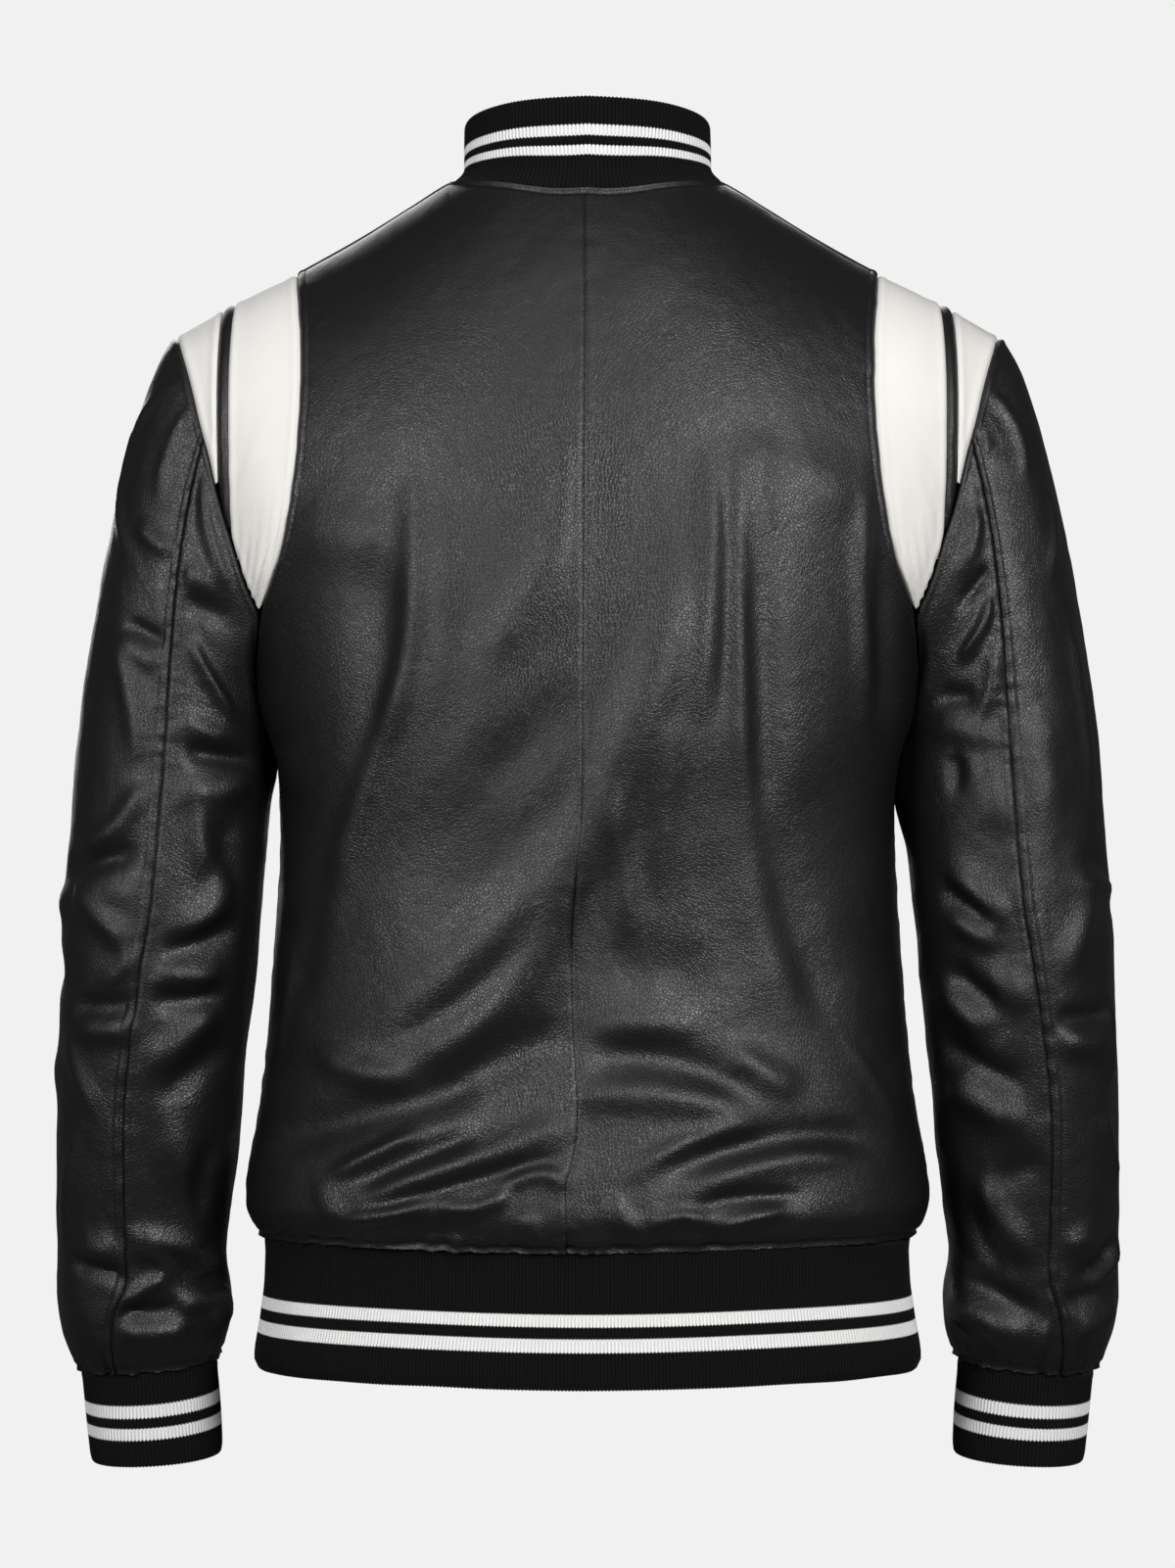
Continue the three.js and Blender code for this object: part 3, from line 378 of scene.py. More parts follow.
# %% Points of a whole sleeve
def sleeve(stations, downs):
    station, down = np.meshgrid(stations, downs)
    z = mix(BICEP, CUFF_SEAM, np.maximum(down - 1, 0))
    tube = arm(arm_angle(station, z), z)
    start = head(station)
    level = np.full_like(station, float(BICEP))
    angle = arm_angle(station, level)
    end = arm(angle, level)
    turn = np.radians(angle)
    outer = np.maximum(0, np.cos(turn))
    inner = np.maximum(0, -np.cos(turn))
    reach = (np.linalg.norm(end - start, axis=-1) / 3)[..., None]
    # The sleeve leaves its head sideways along the top and downwards elsewhere.
    leave = unit(
        place(
            0.95 * outer + 0.25 * np.abs(np.sin(turn)) + 0.6 * inner,
            0.1 * np.sin(turn),
            -1 + 0.62 * outer,
        )
    )
    arrive = unit(arm(angle, level - 2) - end)
    outer, t = outer[..., None], np.minimum(down, 1)[..., None]
    first = start + leave * reach * (1 - 0.72 * outer)
    last = end - arrive * reach * (1 - 0.25 * outer)
    bend = (
        (1 - t) ** 3 * start
        + 3 * (1 - t) ** 2 * t * first
        + 3 * (1 - t) * t**2 * last
        + t**3 * end
    )
    return np.where(down[..., None] >= 1, tube, bend)


def mirror(points, side):
    return points * np.array([-1.0 if side == "right" else 1.0, 1, 1])


bicep = sleeve(np.array([float(BACK_STATION)]), np.array([1.0]))[0, 0]
print("the back seam of the sleeve passes the bicep at", bicep.round(1))

# %% [markdown]
# ## Folds
# Leather bends in soft ridges and hollows. They could be simulated, or sculpted. Rows in a table are
# easier to compare with a photo and to change one by one. Each row is one fold: three points that it
# runs through, how wide it is and how far it lifts or sinks. Folds fade out at both ends. The hidden
# front has a few plain ones of the same kind.

# %% Folds of the body, by x and z
BACK_FOLDS = table(
    "x1 z1 x2 z2 x3 z3 width lift",
    (99, -165, 97, -250, 116, -325, 8, 4.5),
    (101, -268, 126, -352, 160, -455, 8, 4),
    (124, -208, 115, -268, 128, -352, 13, -4),
    (84, -175, 80, -240, 88, -310, 10, 2.5),
    (92, -175, 91, -245, 96, -305, 5, -0.7),
    (14, -195, 32, -238, 58, -276, 12, 3),
    (165, -192, 138, -204, 112, -198, 15, 3),
    (12, -140, 14, -185, 17, -225, 8, 1.5),
    (58, -345, 34, -320, 4, -285, 15, -3),
    (135, -378, 152, -425, 166, -470, 8, -3),
    (-60, -178, 2, -366, 150, -494, 17, 6.5),
    (34, -425, 72, -462, 116, -486, 6, -1.2),
    (-8, -350, 40, -454, 110, -502, 12, 5.5),
    (92, -503, 125, -502, 156, -486, 9, 4.5),
    (8, -478, 48, -494, 104, -516, 14, -6),
    (50, -508, 120, -524, 184, -546, 11, -6),
    (88, -533, 116, -546, 147, -562, 4.5, 4.5),
    (58, -534, 96, -549, 136, -568, 6, -4),
    (2, -522, 58, -548, 136, -574, 10, 5),
    (12, -548, 62, -559, 128, -580, 5, -4),
    (148, -560, 145, -574, 138, -586, 6, 2),
    (140, -585, 112, -580, 84, -573, 4.5, 4),
    (88, -574, 60, -575, 42, -563, 5, 4),
    (48, -568, 28, -556, 10, -567, 5, 3.2),
    (34, -578, 30, -587, 27, -596, 4, 1.5),
    (104, -592, 84, -590, 60, -588, 9, -3),
    (166, -433, 171, -470, 177, -508, 3, 1.2),
    (-66, -150, -69, -235, -58, -318, 8, 4),
    (-77, -165, -77, -240, -76, -320, 5, -1.6),
    (-84, -145, -84, -260, -90, -385, 6, 3),
    (-94, -145, -94, -175, -96, -212, 11, 2.5),
    (-96, -214, -97, -290, -101, -372, 9, -3.5),
    (-108, -168, -130, -176, -150, -190, 18, 4),
    (-155, -172, -154, -240, -158, -322, 5.5, 3.5),
    (-164, -200, -164, -260, -167, -325, 7, -3),
    (-50, -300, -44, -345, -38, -405, 9, 3),
    (-14, -340, -19, -385, -24, -432, 8, 3.5),
    (-6, -440, -36, -446, -70, -440, 16, -3.5),
    (-2, -478, -32, -475, -68, -477, 9, 3),
    (4, -495, -46, -495, -98, -517, 10, -4.5),
    (24, -517, -40, -514, -101, -528, 10, 4.5),
    (-101, -531, -62, -538, -16, -561, 6, 3.5),
    (-172, -546, -108, -538, -30, -564, 9, -5),
    (-156, -551, -104, -550, -42, -572, 8, 3.8),
    (-58, -576, -88, -570, -124, -571, 5, -3.5),
    (-12, -566, -20, -582, -34, -590, 6, 2.5),
    (-33, -589, -52, -580, -70, -588, 4.5, 3.5),
    (-68, -587, -88, -582, -112, -577, 4.5, 4),
    (-76, -488, -95, -501, -120, -514, 9, 5),
    (-88, -345, -98, -420, -124, -490, 14, 3),
    (-99, -352, -114, -420, -142, -488, 12, -3.5),
    (-142, -483, -160, -508, -178, -538, 3, 1.5),
)
FRONT_FOLDS = table(
    "x1 z1 x2 z2 x3 z3 width lift",
    (128, -190, 83, -280, 66, -380, 12, 4.5),
    (140, -250, 108, -350, 96, -440, 13, -4.5),
    (150, -480, 95, -518, 40, -540, 11, 4.5),
    (150, -520, 100, -545, 45, -556, 8, -3),
    (146, -560, 90, -566, 36, -580, 7, 4),
    (-124, -180, -80, -275, -60, -360, 13, 4.5),
    (-142, -260, -110, -360, -100, -450, 12, -4.5),
    (-152, -500, -100, -508, -46, -530, 10, 4.5),
    (-148, -535, -100, -540, -46, -552, 7, -3),
    (-140, -574, -90, -576, -38, -566, 7, 4),
)
print("folds on the body:", len(BACK_FOLDS["x1"]) + len(FRONT_FOLDS["x1"]))

# %% [markdown]
# ## Folds of the sleeves
# On a sleeve x is the angle round the arm in degrees: 0 at the outer edge, 90 at the back and 180 at
# the inner edge. The cloth bunches at the elbow and above the cuff, so most rows are there.

# %% Folds of the sleeves, by the angle round the arm and z
HIDDEN_SLEEVE_FOLDS = [
    (-70, -392, -45, -402, -20, -420, 9, -4.5),
    (-120, -414, -85, -424, -50, -440, 9, 5),
    (-126, -440, -92, -450, -60, -466, 9, -5),
    (-110, -610, -70, -612, -30, -626, 8, -4.5),
    (-130, -636, -80, -640, -40, -648, 7, 3.5),
]
LEFT_SLEEVE_FOLDS = table(
    "x1 z1 x2 z2 x3 z3 width lift",
    (54, -112, 28, -165, 66, -222, 5, 3),
    (76, -115, 70, -150, 72, -188, 4, 2),
    (60, -191, 72, -204, 85, -212, 5, 3.5),
    (58, -250, 74, -257, 86, -262, 4.5, -3.5),
    (56, -257, 70, -268, 84, -277, 6, 3),
    (50, -256, 66, -292, 74, -338, 7, 4.5),
    (74, -338, 66, -362, 26, -388, 7, 4.5),
    (97, -165, 112, -200, 140, -236, 5, 3.5),
    (92, -222, 108, -227, 130, -231, 8, 3.5),
    (98, -241, 118, -244, 148, -252, 7, -3.5),
    (100, -258, 116, -281, 136, -310, 5, 4),
    (94, -305, 110, -312, 132, -320, 7, 3),
    (98, -323, 120, -326, 152, -330, 6, -4.5),
    (94, -345, 120, -346, 152, -338, 9, 4.5),
    (112, -352, 112, -372, 121, -396, 6, 3.5),
    (130, -358, 131, -380, 142, -402, 8, -3.5),
    (12, -387, 45, -386, 82, -378, 6, -5),
    (-16, -403, 2, -409, 22, -413, 8, 3.5),
    (-12, -441, 2, -447, 20, -455, 10, -3),
    (-12, -498, 2, -506, 20, -512, 12, 3),
    (34, -399, 60, -402, 84, -404, 10, 3),
    (28, -400, 54, -416, 80, -438, 7, 5),
    (80, -436, 72, -446, 56, -455, 6, 3),
    (128, -384, 124, -412, 94, -427, 8, 5),
    (94, -437, 116, -431, 148, -421, 7, -5.5),
    (91, -446, 110, -450, 138, -447, 7, 4.5),
    (89, -463, 110, -464, 140, -461, 6, -5),
    (134, -467, 112, -484, 90, -507, 9, 5.5),
    (152, -485, 122, -503, 96, -524, 9, -3.5),
    (36, -466, 60, -468, 84, -466, 6, -4.5),
    (38, -479, 62, -481, 84, -477, 7, 4),
    (28, -484, 42, -506, 62, -532, 6, 3),
    (54, -524, 35, -568, 34, -606, 5, 2.5),
    (102, -538, 115, -552, 123, -570, 12, 3),
    (142, -543, 132, -566, 141, -592, 8, -3.5),
    (48, -604, 64, -607, 82, -604, 8, 3.5),
    (84, -596, 112, -603, 152, -608, 6, 5),
    (84, -606, 104, -611, 113, -620, 4.5, 3.5),
    (34, -614, 62, -618, 85, -624, 4.5, -5),
    (113, -620, 92, -629, 65, -644, 4.5, 4.5),
    (112, -618, 136, -623, 168, -618, 6, -4.5),
    (72, -641, 95, -643, 122, -638, 5, -5),
    (108, -640, 135, -636, 166, -628, 5, 3.5),
    (74, -652, 100, -655, 130, -650, 6, 4.5),
    (150, -630, 165, -640, 173, -653, 6, 3),
    (178, -258, 178, -304, 178, -350, 14, 5),
    *HIDDEN_SLEEVE_FOLDS,
)
RIGHT_SLEEVE_FOLDS = table(
    "x1 z1 x2 z2 x3 z3 width lift",
    (72, -112, 58, -140, 66, -176, 4, 2.5),
    (84, -120, 80, -140, 84, -162, 4, 2),
    (38, -172, 42, -200, 58, -228, 5, 2.5),
    (40, -240, 34, -300, 30, -362, 5, 2.5),
    (98, -184, 108, -205, 130, -229, 6, 3.5),
    (94, -222, 110, -230, 132, -246, 5, -4.5),
    (97, -234, 106, -254, 128, -274, 5, 4.5),
    (98, -262, 97, -285, 109, -309, 6, 4),
    (108, -291, 124, -293, 142, -289, 6, -3.5),
    (94, -319, 115, -312, 142, -309, 9, 3.5),
    (124, -324, 121, -336, 125, -350, 5, -3.5),
    (108, -322, 104, -345, 97, -367, 10, 3),
    (72, -300, 67, -332, 66, -372, 12, 2.5),
    (8, -391, 25, -388, 46, -379, 5, -4),
    (-16, -409, 0, -410, 14, -409, 5, -3),
    (8, -401, 30, -400, 58, -398, 6, 3.5),
    (132, -387, 114, -404, 95, -421, 8, 4.5),
    (140, -398, 120, -411, 103, -421, 5, -5.5),
    (134, -414, 118, -425, 102, -433, 6, 4),
    (34, -400, 52, -426, 67, -454, 8, 4),
    (113, -451, 98, -458, 87, -470, 10, 4.5),
    (137, -444, 120, -458, 103, -467, 7, -5.5),
    (148, -455, 130, -470, 111, -485, 7, 4.5),
    (153, -484, 122, -501, 90, -514, 8, -6),
    (74, -474, 50, -474, 22, -469, 5, -4.5),
    (72, -485, 50, -489, 22, -486, 8, 4.5),
    (26, -463, 22, -490, 26, -517, 5, 2.5),
    (148, -511, 120, -524, 90, -540, 10, 5.5),
    (84, -552, 100, -561, 118, -566, 9, -3.5),
    (40, -527, 28, -548, 18, -572, 5, 3),
    (127, -564, 114, -588, 94, -616, 8, 5.5),
    (142, -574, 130, -600, 110, -623, 9, -5),
    (50, -598, 62, -602, 74, -604, 8, 3.5),
    (22, -599, 40, -615, 68, -622, 5, -5),
    (12, -599, 28, -621, 52, -631, 5, 3.5),
    (153, -621, 115, -634, 82, -647, 8, -6),
    (72, -637, 45, -632, 14, -621, 6, -4.5),
    (168, -635, 125, -646, 93, -663, 8, 5),
    (62, -653, 40, -650, 14, -640, 7, 3.5),
    (172, -645, 130, -656, 104, -671, 5, 3.5),
    (84, -647, 84, -660, 86, -671, 5, 3.5),
    (178, -262, 178, -322, 179, -386, 16, 7),
    *HIDDEN_SLEEVE_FOLDS,
)
print("folds on the sleeves:", len(LEFT_SLEEVE_FOLDS["x1"]) + len(RIGHT_SLEEVE_FOLDS["x1"]))


# %% [markdown]
# ## From a row to a lift
# Each fold is a smooth curve through its three points, and a place is lifted by how near it is to the
# curve. The finest unevenness has no row of its own: it is a sum of waves in random directions, with
# a fixed seed so that it comes out the same each time.


# %% How far the folds lift each place
def fold_lift(folds, x, z, stretch=1.0):
    """Each fold is a curve through its three points; its lift fades over its width and at its ends."""
    total = np.zeros_like(x)
    steps = np.linspace(0, 1, 41)
    for i in range(len(folds["lift"])):
        a, b, c = (np.array([folds[f"x{k}"][i] * stretch, folds[f"z{k}"][i]]) for k in (1, 2, 3))
        bend = 2 * b - (a + c) / 2
        line = (1 - steps[:, None]) ** 2 * a + 2 * (steps * (1 - steps))[:, None] * bend
        line = line + steps[:, None] ** 2 * c
        width, lift = folds["width"][i], folds["lift"][i]
        reach = 3 * width
        low, high = line.min(0) - reach, line.max(0) + reach
        near = (x > low[0]) & (x < high[0]) & (z > low[1]) & (z < high[1])
        if not near.any():
            continue
        p = np.stack([x[near], z[near]], -1)[:, None]
        step = line[1:] - line[:-1]
        t = np.clip(((p - line[:-1]) * step).sum(-1) / (step**2).sum(-1), 0, 1)
        away = np.linalg.norm(p - (line[:-1] + t[..., None] * step), axis=-1)
        along = (np.arange(len(step)) + t) / len(step)
        form = soft(4.4 * along * (1 - along)) * bell(away, width)
        closest = away.min(1, keepdims=True)
        share = np.exp((closest**2 - away**2) / (0.5 * width) ** 2)
        total[near] += lift * (form * share).sum(1) / share.sum(1)
    return total


first = BACK_FOLDS["x2"][:1], BACK_FOLDS["z2"][:1]
print("lift in the middle of the first fold:", fold_lift(BACK_FOLDS, *first).round(1)[0], "mm")


# %% Uneven waves
def ripple(a, b, lengths, seed, waves=14):
    """Uneven waves over a surface: lengths are the shortest and longest wave in millimetres."""
    rng = np.random.default_rng(seed)
    total = np.zeros(np.broadcast(a, b).shape)
    for _ in range(waves):
        length = math.exp(rng.uniform(*np.log(lengths)))
        turn, shift = rng.uniform(0, 2 * np.pi, 2)
        total += np.sin(2 * np.pi / length * (a * np.cos(turn) + b * np.sin(turn)) + shift)
    return total / math.sqrt(waves)


metre = np.arange(0, 1000.0)
print("the waves' mean height:", np.abs(ripple(metre, metre, lengths=(38, 110), seed=11)).mean().round(2))


# %% [markdown]
# ## Walls with rolled seams
# Two panels that are sewn together roll inwards to the seam, pucker a little beside it, and stand
# proud behind the row of topstitching. A bevel would round the edges, but it knows nothing of seams.
# The next helpers measure how far each point is from each edge of its panel, shape that roll, and
# close the wall with an inner face.


# %% Distances, directions and seams on a grid of points
# Where the cloth stands proud behind a seam, and how deep a row of stitches draws it in
WELT_AT, GROOVE = 3.2, 0.24


def run(points, axis):
    step = np.linalg.norm(np.diff(points, axis=axis), axis=-1)
    start = np.zeros_like(np.take(step, [0], axis=axis))
    return np.cumsum(np.concatenate([start, step], axis), axis=axis)


def directions(points, ring=False):
    if ring:
        points = np.concatenate([points[:, -2:], points, points[:, :2]], axis=1)
    normal = unit(np.cross(np.gradient(points, axis=1), np.gradient(points, axis=0)))
    return normal[:, 2:-2] if ring else normal


def outwards(points, centre, ring=False):
    normal = directions(points, ring)
    side = (normal * (points - centre)).sum()
    return normal if side > 0 else -normal


def seam_roll(distance, depth=1.0, welt=0.55):
    return -depth * bell(distance, 0.95) + welt * bell(distance, 2.0, WELT_AT)


def edge_lip(distance):
    """A narrow ridge where the leather is folded over a knitted band, and the dip behind it."""
    return 1.3 * bell(distance, 1.0, 1.8) - 0.8 * bell(distance, 1.5, 4.6)


def stitch_groove(distance, inset):
    return -GROOVE * bell(distance, 0.9, inset)


def pucker(distance, along, seed, size=0.5, lengths=(9, 26), reach=7):
    return size * ripple(along, 0 * along, lengths, seed) * bell(distance, reach)


def closer_at_ends(count, closeness=0.72):
    t = np.linspace(0, 1, count)
    return t - closeness * np.sin(2 * np.pi * t) / (2 * np.pi)


print("a rolled seam sinks by", -seam_roll(0.0).round(2), "mm, and stands up by", seam_roll(WELT_AT).round(2))

# %% [markdown]
# ## A wall of leather
# Cloth has a thickness, which shows at its edges. A Solidify modifier could give it. Here the inner
# face is the outer one moved inwards, and one loop of points runs down the outside and back up the
# inside, so that the wall is closed and its edges can be drawn in by half of the seam's gap.


# %% A closed wall from rows of points that go down outside and come back up inside
def put(name, mesh):
    made = bpy.data.objects.new(name, mesh)
    bpy.context.collection.objects.link(made)
    return made


def closed_mesh(name, loops, ring=False, uv=None):
    rows, columns = loops.shape[:2]
    index = np.arange(rows * columns).reshape(rows, columns)
    below = np.roll(index, -1, axis=0)
    if ring:
        quads = [index, np.roll(index, -1, 1), np.roll(below, -1, 1), below]
    else:
        quads = [index[:, :-1], index[:, 1:], below[:, 1:], below[:, :-1]]
    faces = np.stack(quads, -1).reshape(-1, 4)
    if not ring:
        i = np.arange(rows // 2 - 1)
        end = np.stack([i, i + 1, rows - 2 - i, rows - 1 - i], -1)
        faces = np.concatenate([faces, index[:, 0][end], index[:, -1][end[:, [0, 3, 2, 1]]]])
    points = loops.reshape(-1, 3) / 1000
    a, b, c, d = (points[faces[:, k]] for k in range(4))
    volume = (a * np.cross(b, c)).sum() + (a * np.cross(c, d)).sum()
    if volume < 0:
        faces = faces[:, ::-1]
    mesh = bpy.data.meshes.new(name)
    mesh.from_pydata(points.tolist(), [], faces.tolist())
    if uv is not None:
        layer = mesh.uv_layers.new(name="UVMap")
        corner = np.empty(len(mesh.loops), int)
        mesh.loops.foreach_get("vertex_index", corner)
        layer.data.foreach_set("uv", uv.reshape(-1, 2)[corner].astype(np.float32).ravel())
    mesh.shade_smooth()
    mesh.set_sharp_from_angle(angle=math.radians(55))
    return put(name, mesh)


def trimmed(points):
    """Draws the edges in by half of the seam's gap."""
    moved = points.copy()
    moved[0] += unit(points[1] - points[0]) * GAP / 2
    moved[-1] += unit(points[-2] - points[-1]) * GAP / 2
    moved[:, 0] += unit(points[:, 1] - points[:, 0]) * GAP / 2
    moved[:, -1] += unit(points[:, -2] - points[:, -1]) * GAP / 2
    return moved


def leather_wall(name, points, normal):
    outer = trimmed(points)
    inner = (outer - normal * LEATHER)[::-1]
    return closed_mesh(name, np.concatenate([outer, inner]))


print("leather walls are", LEATHER, "mm thick, with", GAP, "mm between sewn edges")

# %% [markdown]
# ## Finishes
# A finish is a tree of nodes that ends in one shader. Most trees here need the same few nodes, so a
# helper makes a node, sets its values and joins it to others in one call.


# %% A small helper to build node trees
def finish(name, **sockets):
    material = bpy.data.materials.new(name)
    material.use_nodes = True
    tree = material.node_tree
    shader = tree.nodes["Principled BSDF"]
    for socket, value in sockets.items():
        shader.inputs[socket.replace("_", " ")].default_value = value
    return material, tree, shader


def node(tree, kind, inputs=(), **settings):
    made = tree.nodes.new(kind)
    for key, value in settings.items():
        setattr(made, key, value)
    for key, value in dict(inputs).items():
        if isinstance(value, bpy.types.NodeSocket):
            tree.links.new(value, made.inputs[key])
        else:
            made.inputs[key].default_value = value
    return made


def maths(tree, operation, *values):
    return node(tree, "ShaderNodeMath", enumerate(values), operation=operation).outputs[0]


def ramp(tree, value, *stops):
    made = node(tree, "ShaderNodeValToRGB", {"Fac": value})
    elements = made.color_ramp.elements
    while len(elements) < len(stops):
        elements.new(0.5)
    for element, (position, colour) in zip(elements, stops):
        element.position = position
        element.color = (*colour, 1) if len(colour) == 3 else (colour[0],) * 3 + (1,)
    return made.outputs["Color"]


def noise(tree, where, scale, detail, distortion=0.0):
    inputs = {"Vector": where, "Scale": scale, "Detail": detail, "Distortion": distortion}
    return node(tree, "ShaderNodeTexNoise", inputs).outputs["Fac"]


print("materials before the first finish:", len(bpy.data.materials))


# %% [markdown]
# ## Leather
# Black leather is nearly black by itself. What we see is mostly a soft sheen on a pebbled and finely
# wrinkled grain, so the bump and the roughness matter more than the colour. A photo of leather could
# be laid on it. Noises and small cells are simpler, and need no map. The inset is a drier leather.

# %% Leather
# How high the grain stands, in metres
GRAIN_HEIGHT = 0.00015


def leather(name, dark, light, rough, grain, specular):
    material, tree, shader = finish(name, Specular_IOR_Level=specular)
    where = node(tree, "ShaderNodeTexCoord").outputs["Object"]
    cells = {"Vector": where, "Scale": 560.0, "Randomness": 1.0}
    pebble = node(tree, "ShaderNodeTexVoronoi", cells, feature="DISTANCE_TO_EDGE")
    fine = maths(tree, "MINIMUM", maths(tree, "MULTIPLY", pebble.outputs["Distance"], 5.0), 1.0)
    crease = maths(tree, "MULTIPLY", noise(tree, where, 210.0, 6.0, 0.6), 1.6)
    wrinkle = maths(tree, "MULTIPLY", noise(tree, where, 70.0, 5.0, 0.5), 6.0)
    height = maths(tree, "ADD", fine, maths(tree, "ADD", crease, wrinkle))
    bump = node(
        tree, "ShaderNodeBump", {"Height": height, "Strength": grain, "Distance": GRAIN_HEIGHT}
    )
    cloudy = noise(tree, where, 14.0, 4.0)
    colour = ramp(tree, cloudy, (0.3, dark), (0.72, light))
    patchy = ramp(tree, cloudy, (0.3, (rough + 0.07,)), (0.7, (rough - 0.06,)))
    tree.links.new(colour, shader.inputs["Base Color"])
    tree.links.new(patchy, shader.inputs["Roughness"])
    tree.links.new(bump.outputs["Normal"], shader.inputs["Normal"])
    return material


black, nearly_black = (0.0045, 0.0045, 0.0048), (0.0085, 0.0083, 0.0083)
ivory, pale_ivory = (0.79, 0.765, 0.73), (0.835, 0.815, 0.78)
black_leather = leather(
    "black grained leather", black, nearly_black, rough=0.39, grain=0.6, specular=0.52
)
white_leather = leather("off-white leather", ivory, pale_ivory, rough=0.62, grain=0.22, specular=0.3)
print("leathers:", black_leather.name, "and", white_leather.name)


# %% [markdown]
# ## Rib knit, thread and snaps
# The stripes are knitted in, so their edges step up and down with every rib. The knit takes them from
# its own map, whose first axis counts ribs and whose second runs from the band's free edge in
# millimetres. Painted stripes would have a straight edge. Thread and snaps are plain.

# %% Rib knit with two stripes
# How far a stripe's edge steps between two ribs, and the height of one row of loops
TOOTH, COURSE = 1.7, 1.15


def within(tree, value, low, high):
    """One between the two heights, with a narrow soft edge, and nought elsewhere."""
    rising = node(tree, "ShaderNodeMapRange", {"Value": value, 1: low - 0.1, 2: low + 0.15})
    falling = node(tree, "ShaderNodeMapRange", {"Value": value, 1: high + 0.15, 2: high - 0.1})
    return maths(tree, "MULTIPLY", rising.outputs[0], falling.outputs[0])


def rib_knit(name, stripes):
    material, tree, shader = finish(name, Roughness=0.92, Sheen_Weight=0.04, Sheen_Roughness=0.5)
    shader.inputs["Specular IOR Level"].default_value = 0.08
    counted = node(tree, "ShaderNodeUVMap", uv_map="UVMap").outputs["UV"]
    split = node(tree, "ShaderNodeSeparateXYZ", {"Vector": counted})
    ribs, height = split.outputs["X"], split.outputs["Y"]
    tooth = maths(tree, "PINGPONG", ribs, 0.5)
    toothed = maths(tree, "ADD", height, maths(tree, "MULTIPLY", tooth, TOOTH))
    white = maths(tree, "MAXIMUM", *[within(tree, toothed, low, high) for low, high in stripes])
    # Painted shade: the white and the black knit are both coloured darker in the grooves between the ribs,
    # where the mesh already dips.
    painted_groove_shade = maths(tree, "MULTIPLY", tooth, 2.0)
    pale = ramp(tree, painted_groove_shade, (0.0, (0.66, 0.65, 0.64)), (0.5, (0.94, 0.935, 0.92)))
    deep = ramp(tree, painted_groove_shade, (0.0, (0.0015, 0.0015, 0.0015)), (0.6, (0.0065, 0.0065, 0.0068)))
    colour = node(tree, "ShaderNodeMix", {0: white, 6: deep, 7: pale}, data_type="RGBA")
    slanted = maths(tree, "ADD", height, maths(tree, "MULTIPLY", tooth, 1.3))
    courses = maths(tree, "SINE", maths(tree, "MULTIPLY", slanted, 2 * math.pi / COURSE))
    fuzz = noise(tree, node(tree, "ShaderNodeTexCoord").outputs["Object"], 1600.0, 2.0)
    texture = maths(tree, "ADD", courses, maths(tree, "MULTIPLY", fuzz, 1.5))
    bump = node(tree, "ShaderNodeBump", {"Height": texture, "Strength": 0.5, "Distance": 0.00025})
    tree.links.new(colour.outputs[2], shader.inputs["Base Color"])
    tree.links.new(bump.outputs["Normal"], shader.inputs["Normal"])
    return material


# Each pair is a stripe, from its lower to its upper edge, in millimetres above the free edge.
hem_knit = rib_knit("striped rib knit of the hem", [(21.3, 28.9), (35.6, 42.6)])
cuff_knit = rib_knit("striped rib knit of the cuffs", [(17.0, 24.3), (30.6, 38.2)])
collar_knit = rib_knit("striped rib knit of the collar", [(15.3, 21.5), (27.2, 32.8)])

thread, _, _ = finish("black thread", Roughness=0.6, Base_Color=(0.012, 0.012, 0.013, 1))
snap_metal, _, _ = finish(
    "dark snap metal", Roughness=0.28, Metallic=1.0, Base_Color=(0.06, 0.06, 0.064, 1)
)
print("finishes:", [m.name for m in bpy.data.materials])


# %% [markdown]
# ## Hand each piece to the frame
# Every piece takes the place of its solid, keeps still with it, and says how large its cloth was when
# it lay flat, which is measured along its longest row and column.


# %% Dress a node with its piece
def flat_size(points, ring=False):
    rows, columns = points.shape[:2]
    across = run(points, 1)[:, -1].max()
    along = run(points, 0)[-1].max()
    a = points[:-1, :-1], points[:-1, 1:], points[1:, 1:], points[1:, :-1]
    area = 0.5 * np.linalg.norm(np.cross(a[2] - a[0], a[3] - a[1]), axis=-1).sum()
    if ring:
        wrap = np.concatenate([points[:, -1:], points[:, :1]], axis=1)
        across += np.linalg.norm(wrap[:, 1] - wrap[:, 0], axis=-1).mean()
    return across / 1000, along / 1000, area / 1e6


SIZES = {}


def dress(piece, material, points, replaces, ring=False):
    piece.data.materials.append(material)
    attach(piece, "root")
    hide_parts(replaces)
    wide, long, area = flat_size(points, ring)
    SIZES[piece.name] = (round(wide * 1000), round(long * 1000), round(area, 4))
    return piece


square = np.array([[[0, 0, 0], [0, 10, 0]], [[10, 0, 0], [10, 10, 0]]], float)
print("a square of 10 mm is, in metres:", [round(float(size), 6) for size in flat_size(square)])

# %% [markdown]
# ## Backs and fronts
# The back is cut in two halves that meet in a middle seam, and so is the front, where it opens. Each
# panel is a grid from the middle to the side seam and from the hem to the neck and shoulder. One mesh
# for the whole body would be shorter to write, but it would have no seams. The grid is finer beside
# its edges, where the seams roll. Above the hem the leather is a little too wide for the rib, so it
# puckers there.

# %% Lines for the topstitching
# Lines to be stitched, their distances from the edges, the height where they start on the backs and
# fronts, and how far the thread lies above the leather
STITCH_LINES = []
SIDE_INSET, SLEEVE_INSET, PLACKET_INSET = 5.6, 6.0, 3.0
SIDE_STITCH_FROM = -250
THREAD_LIFT = 0.05


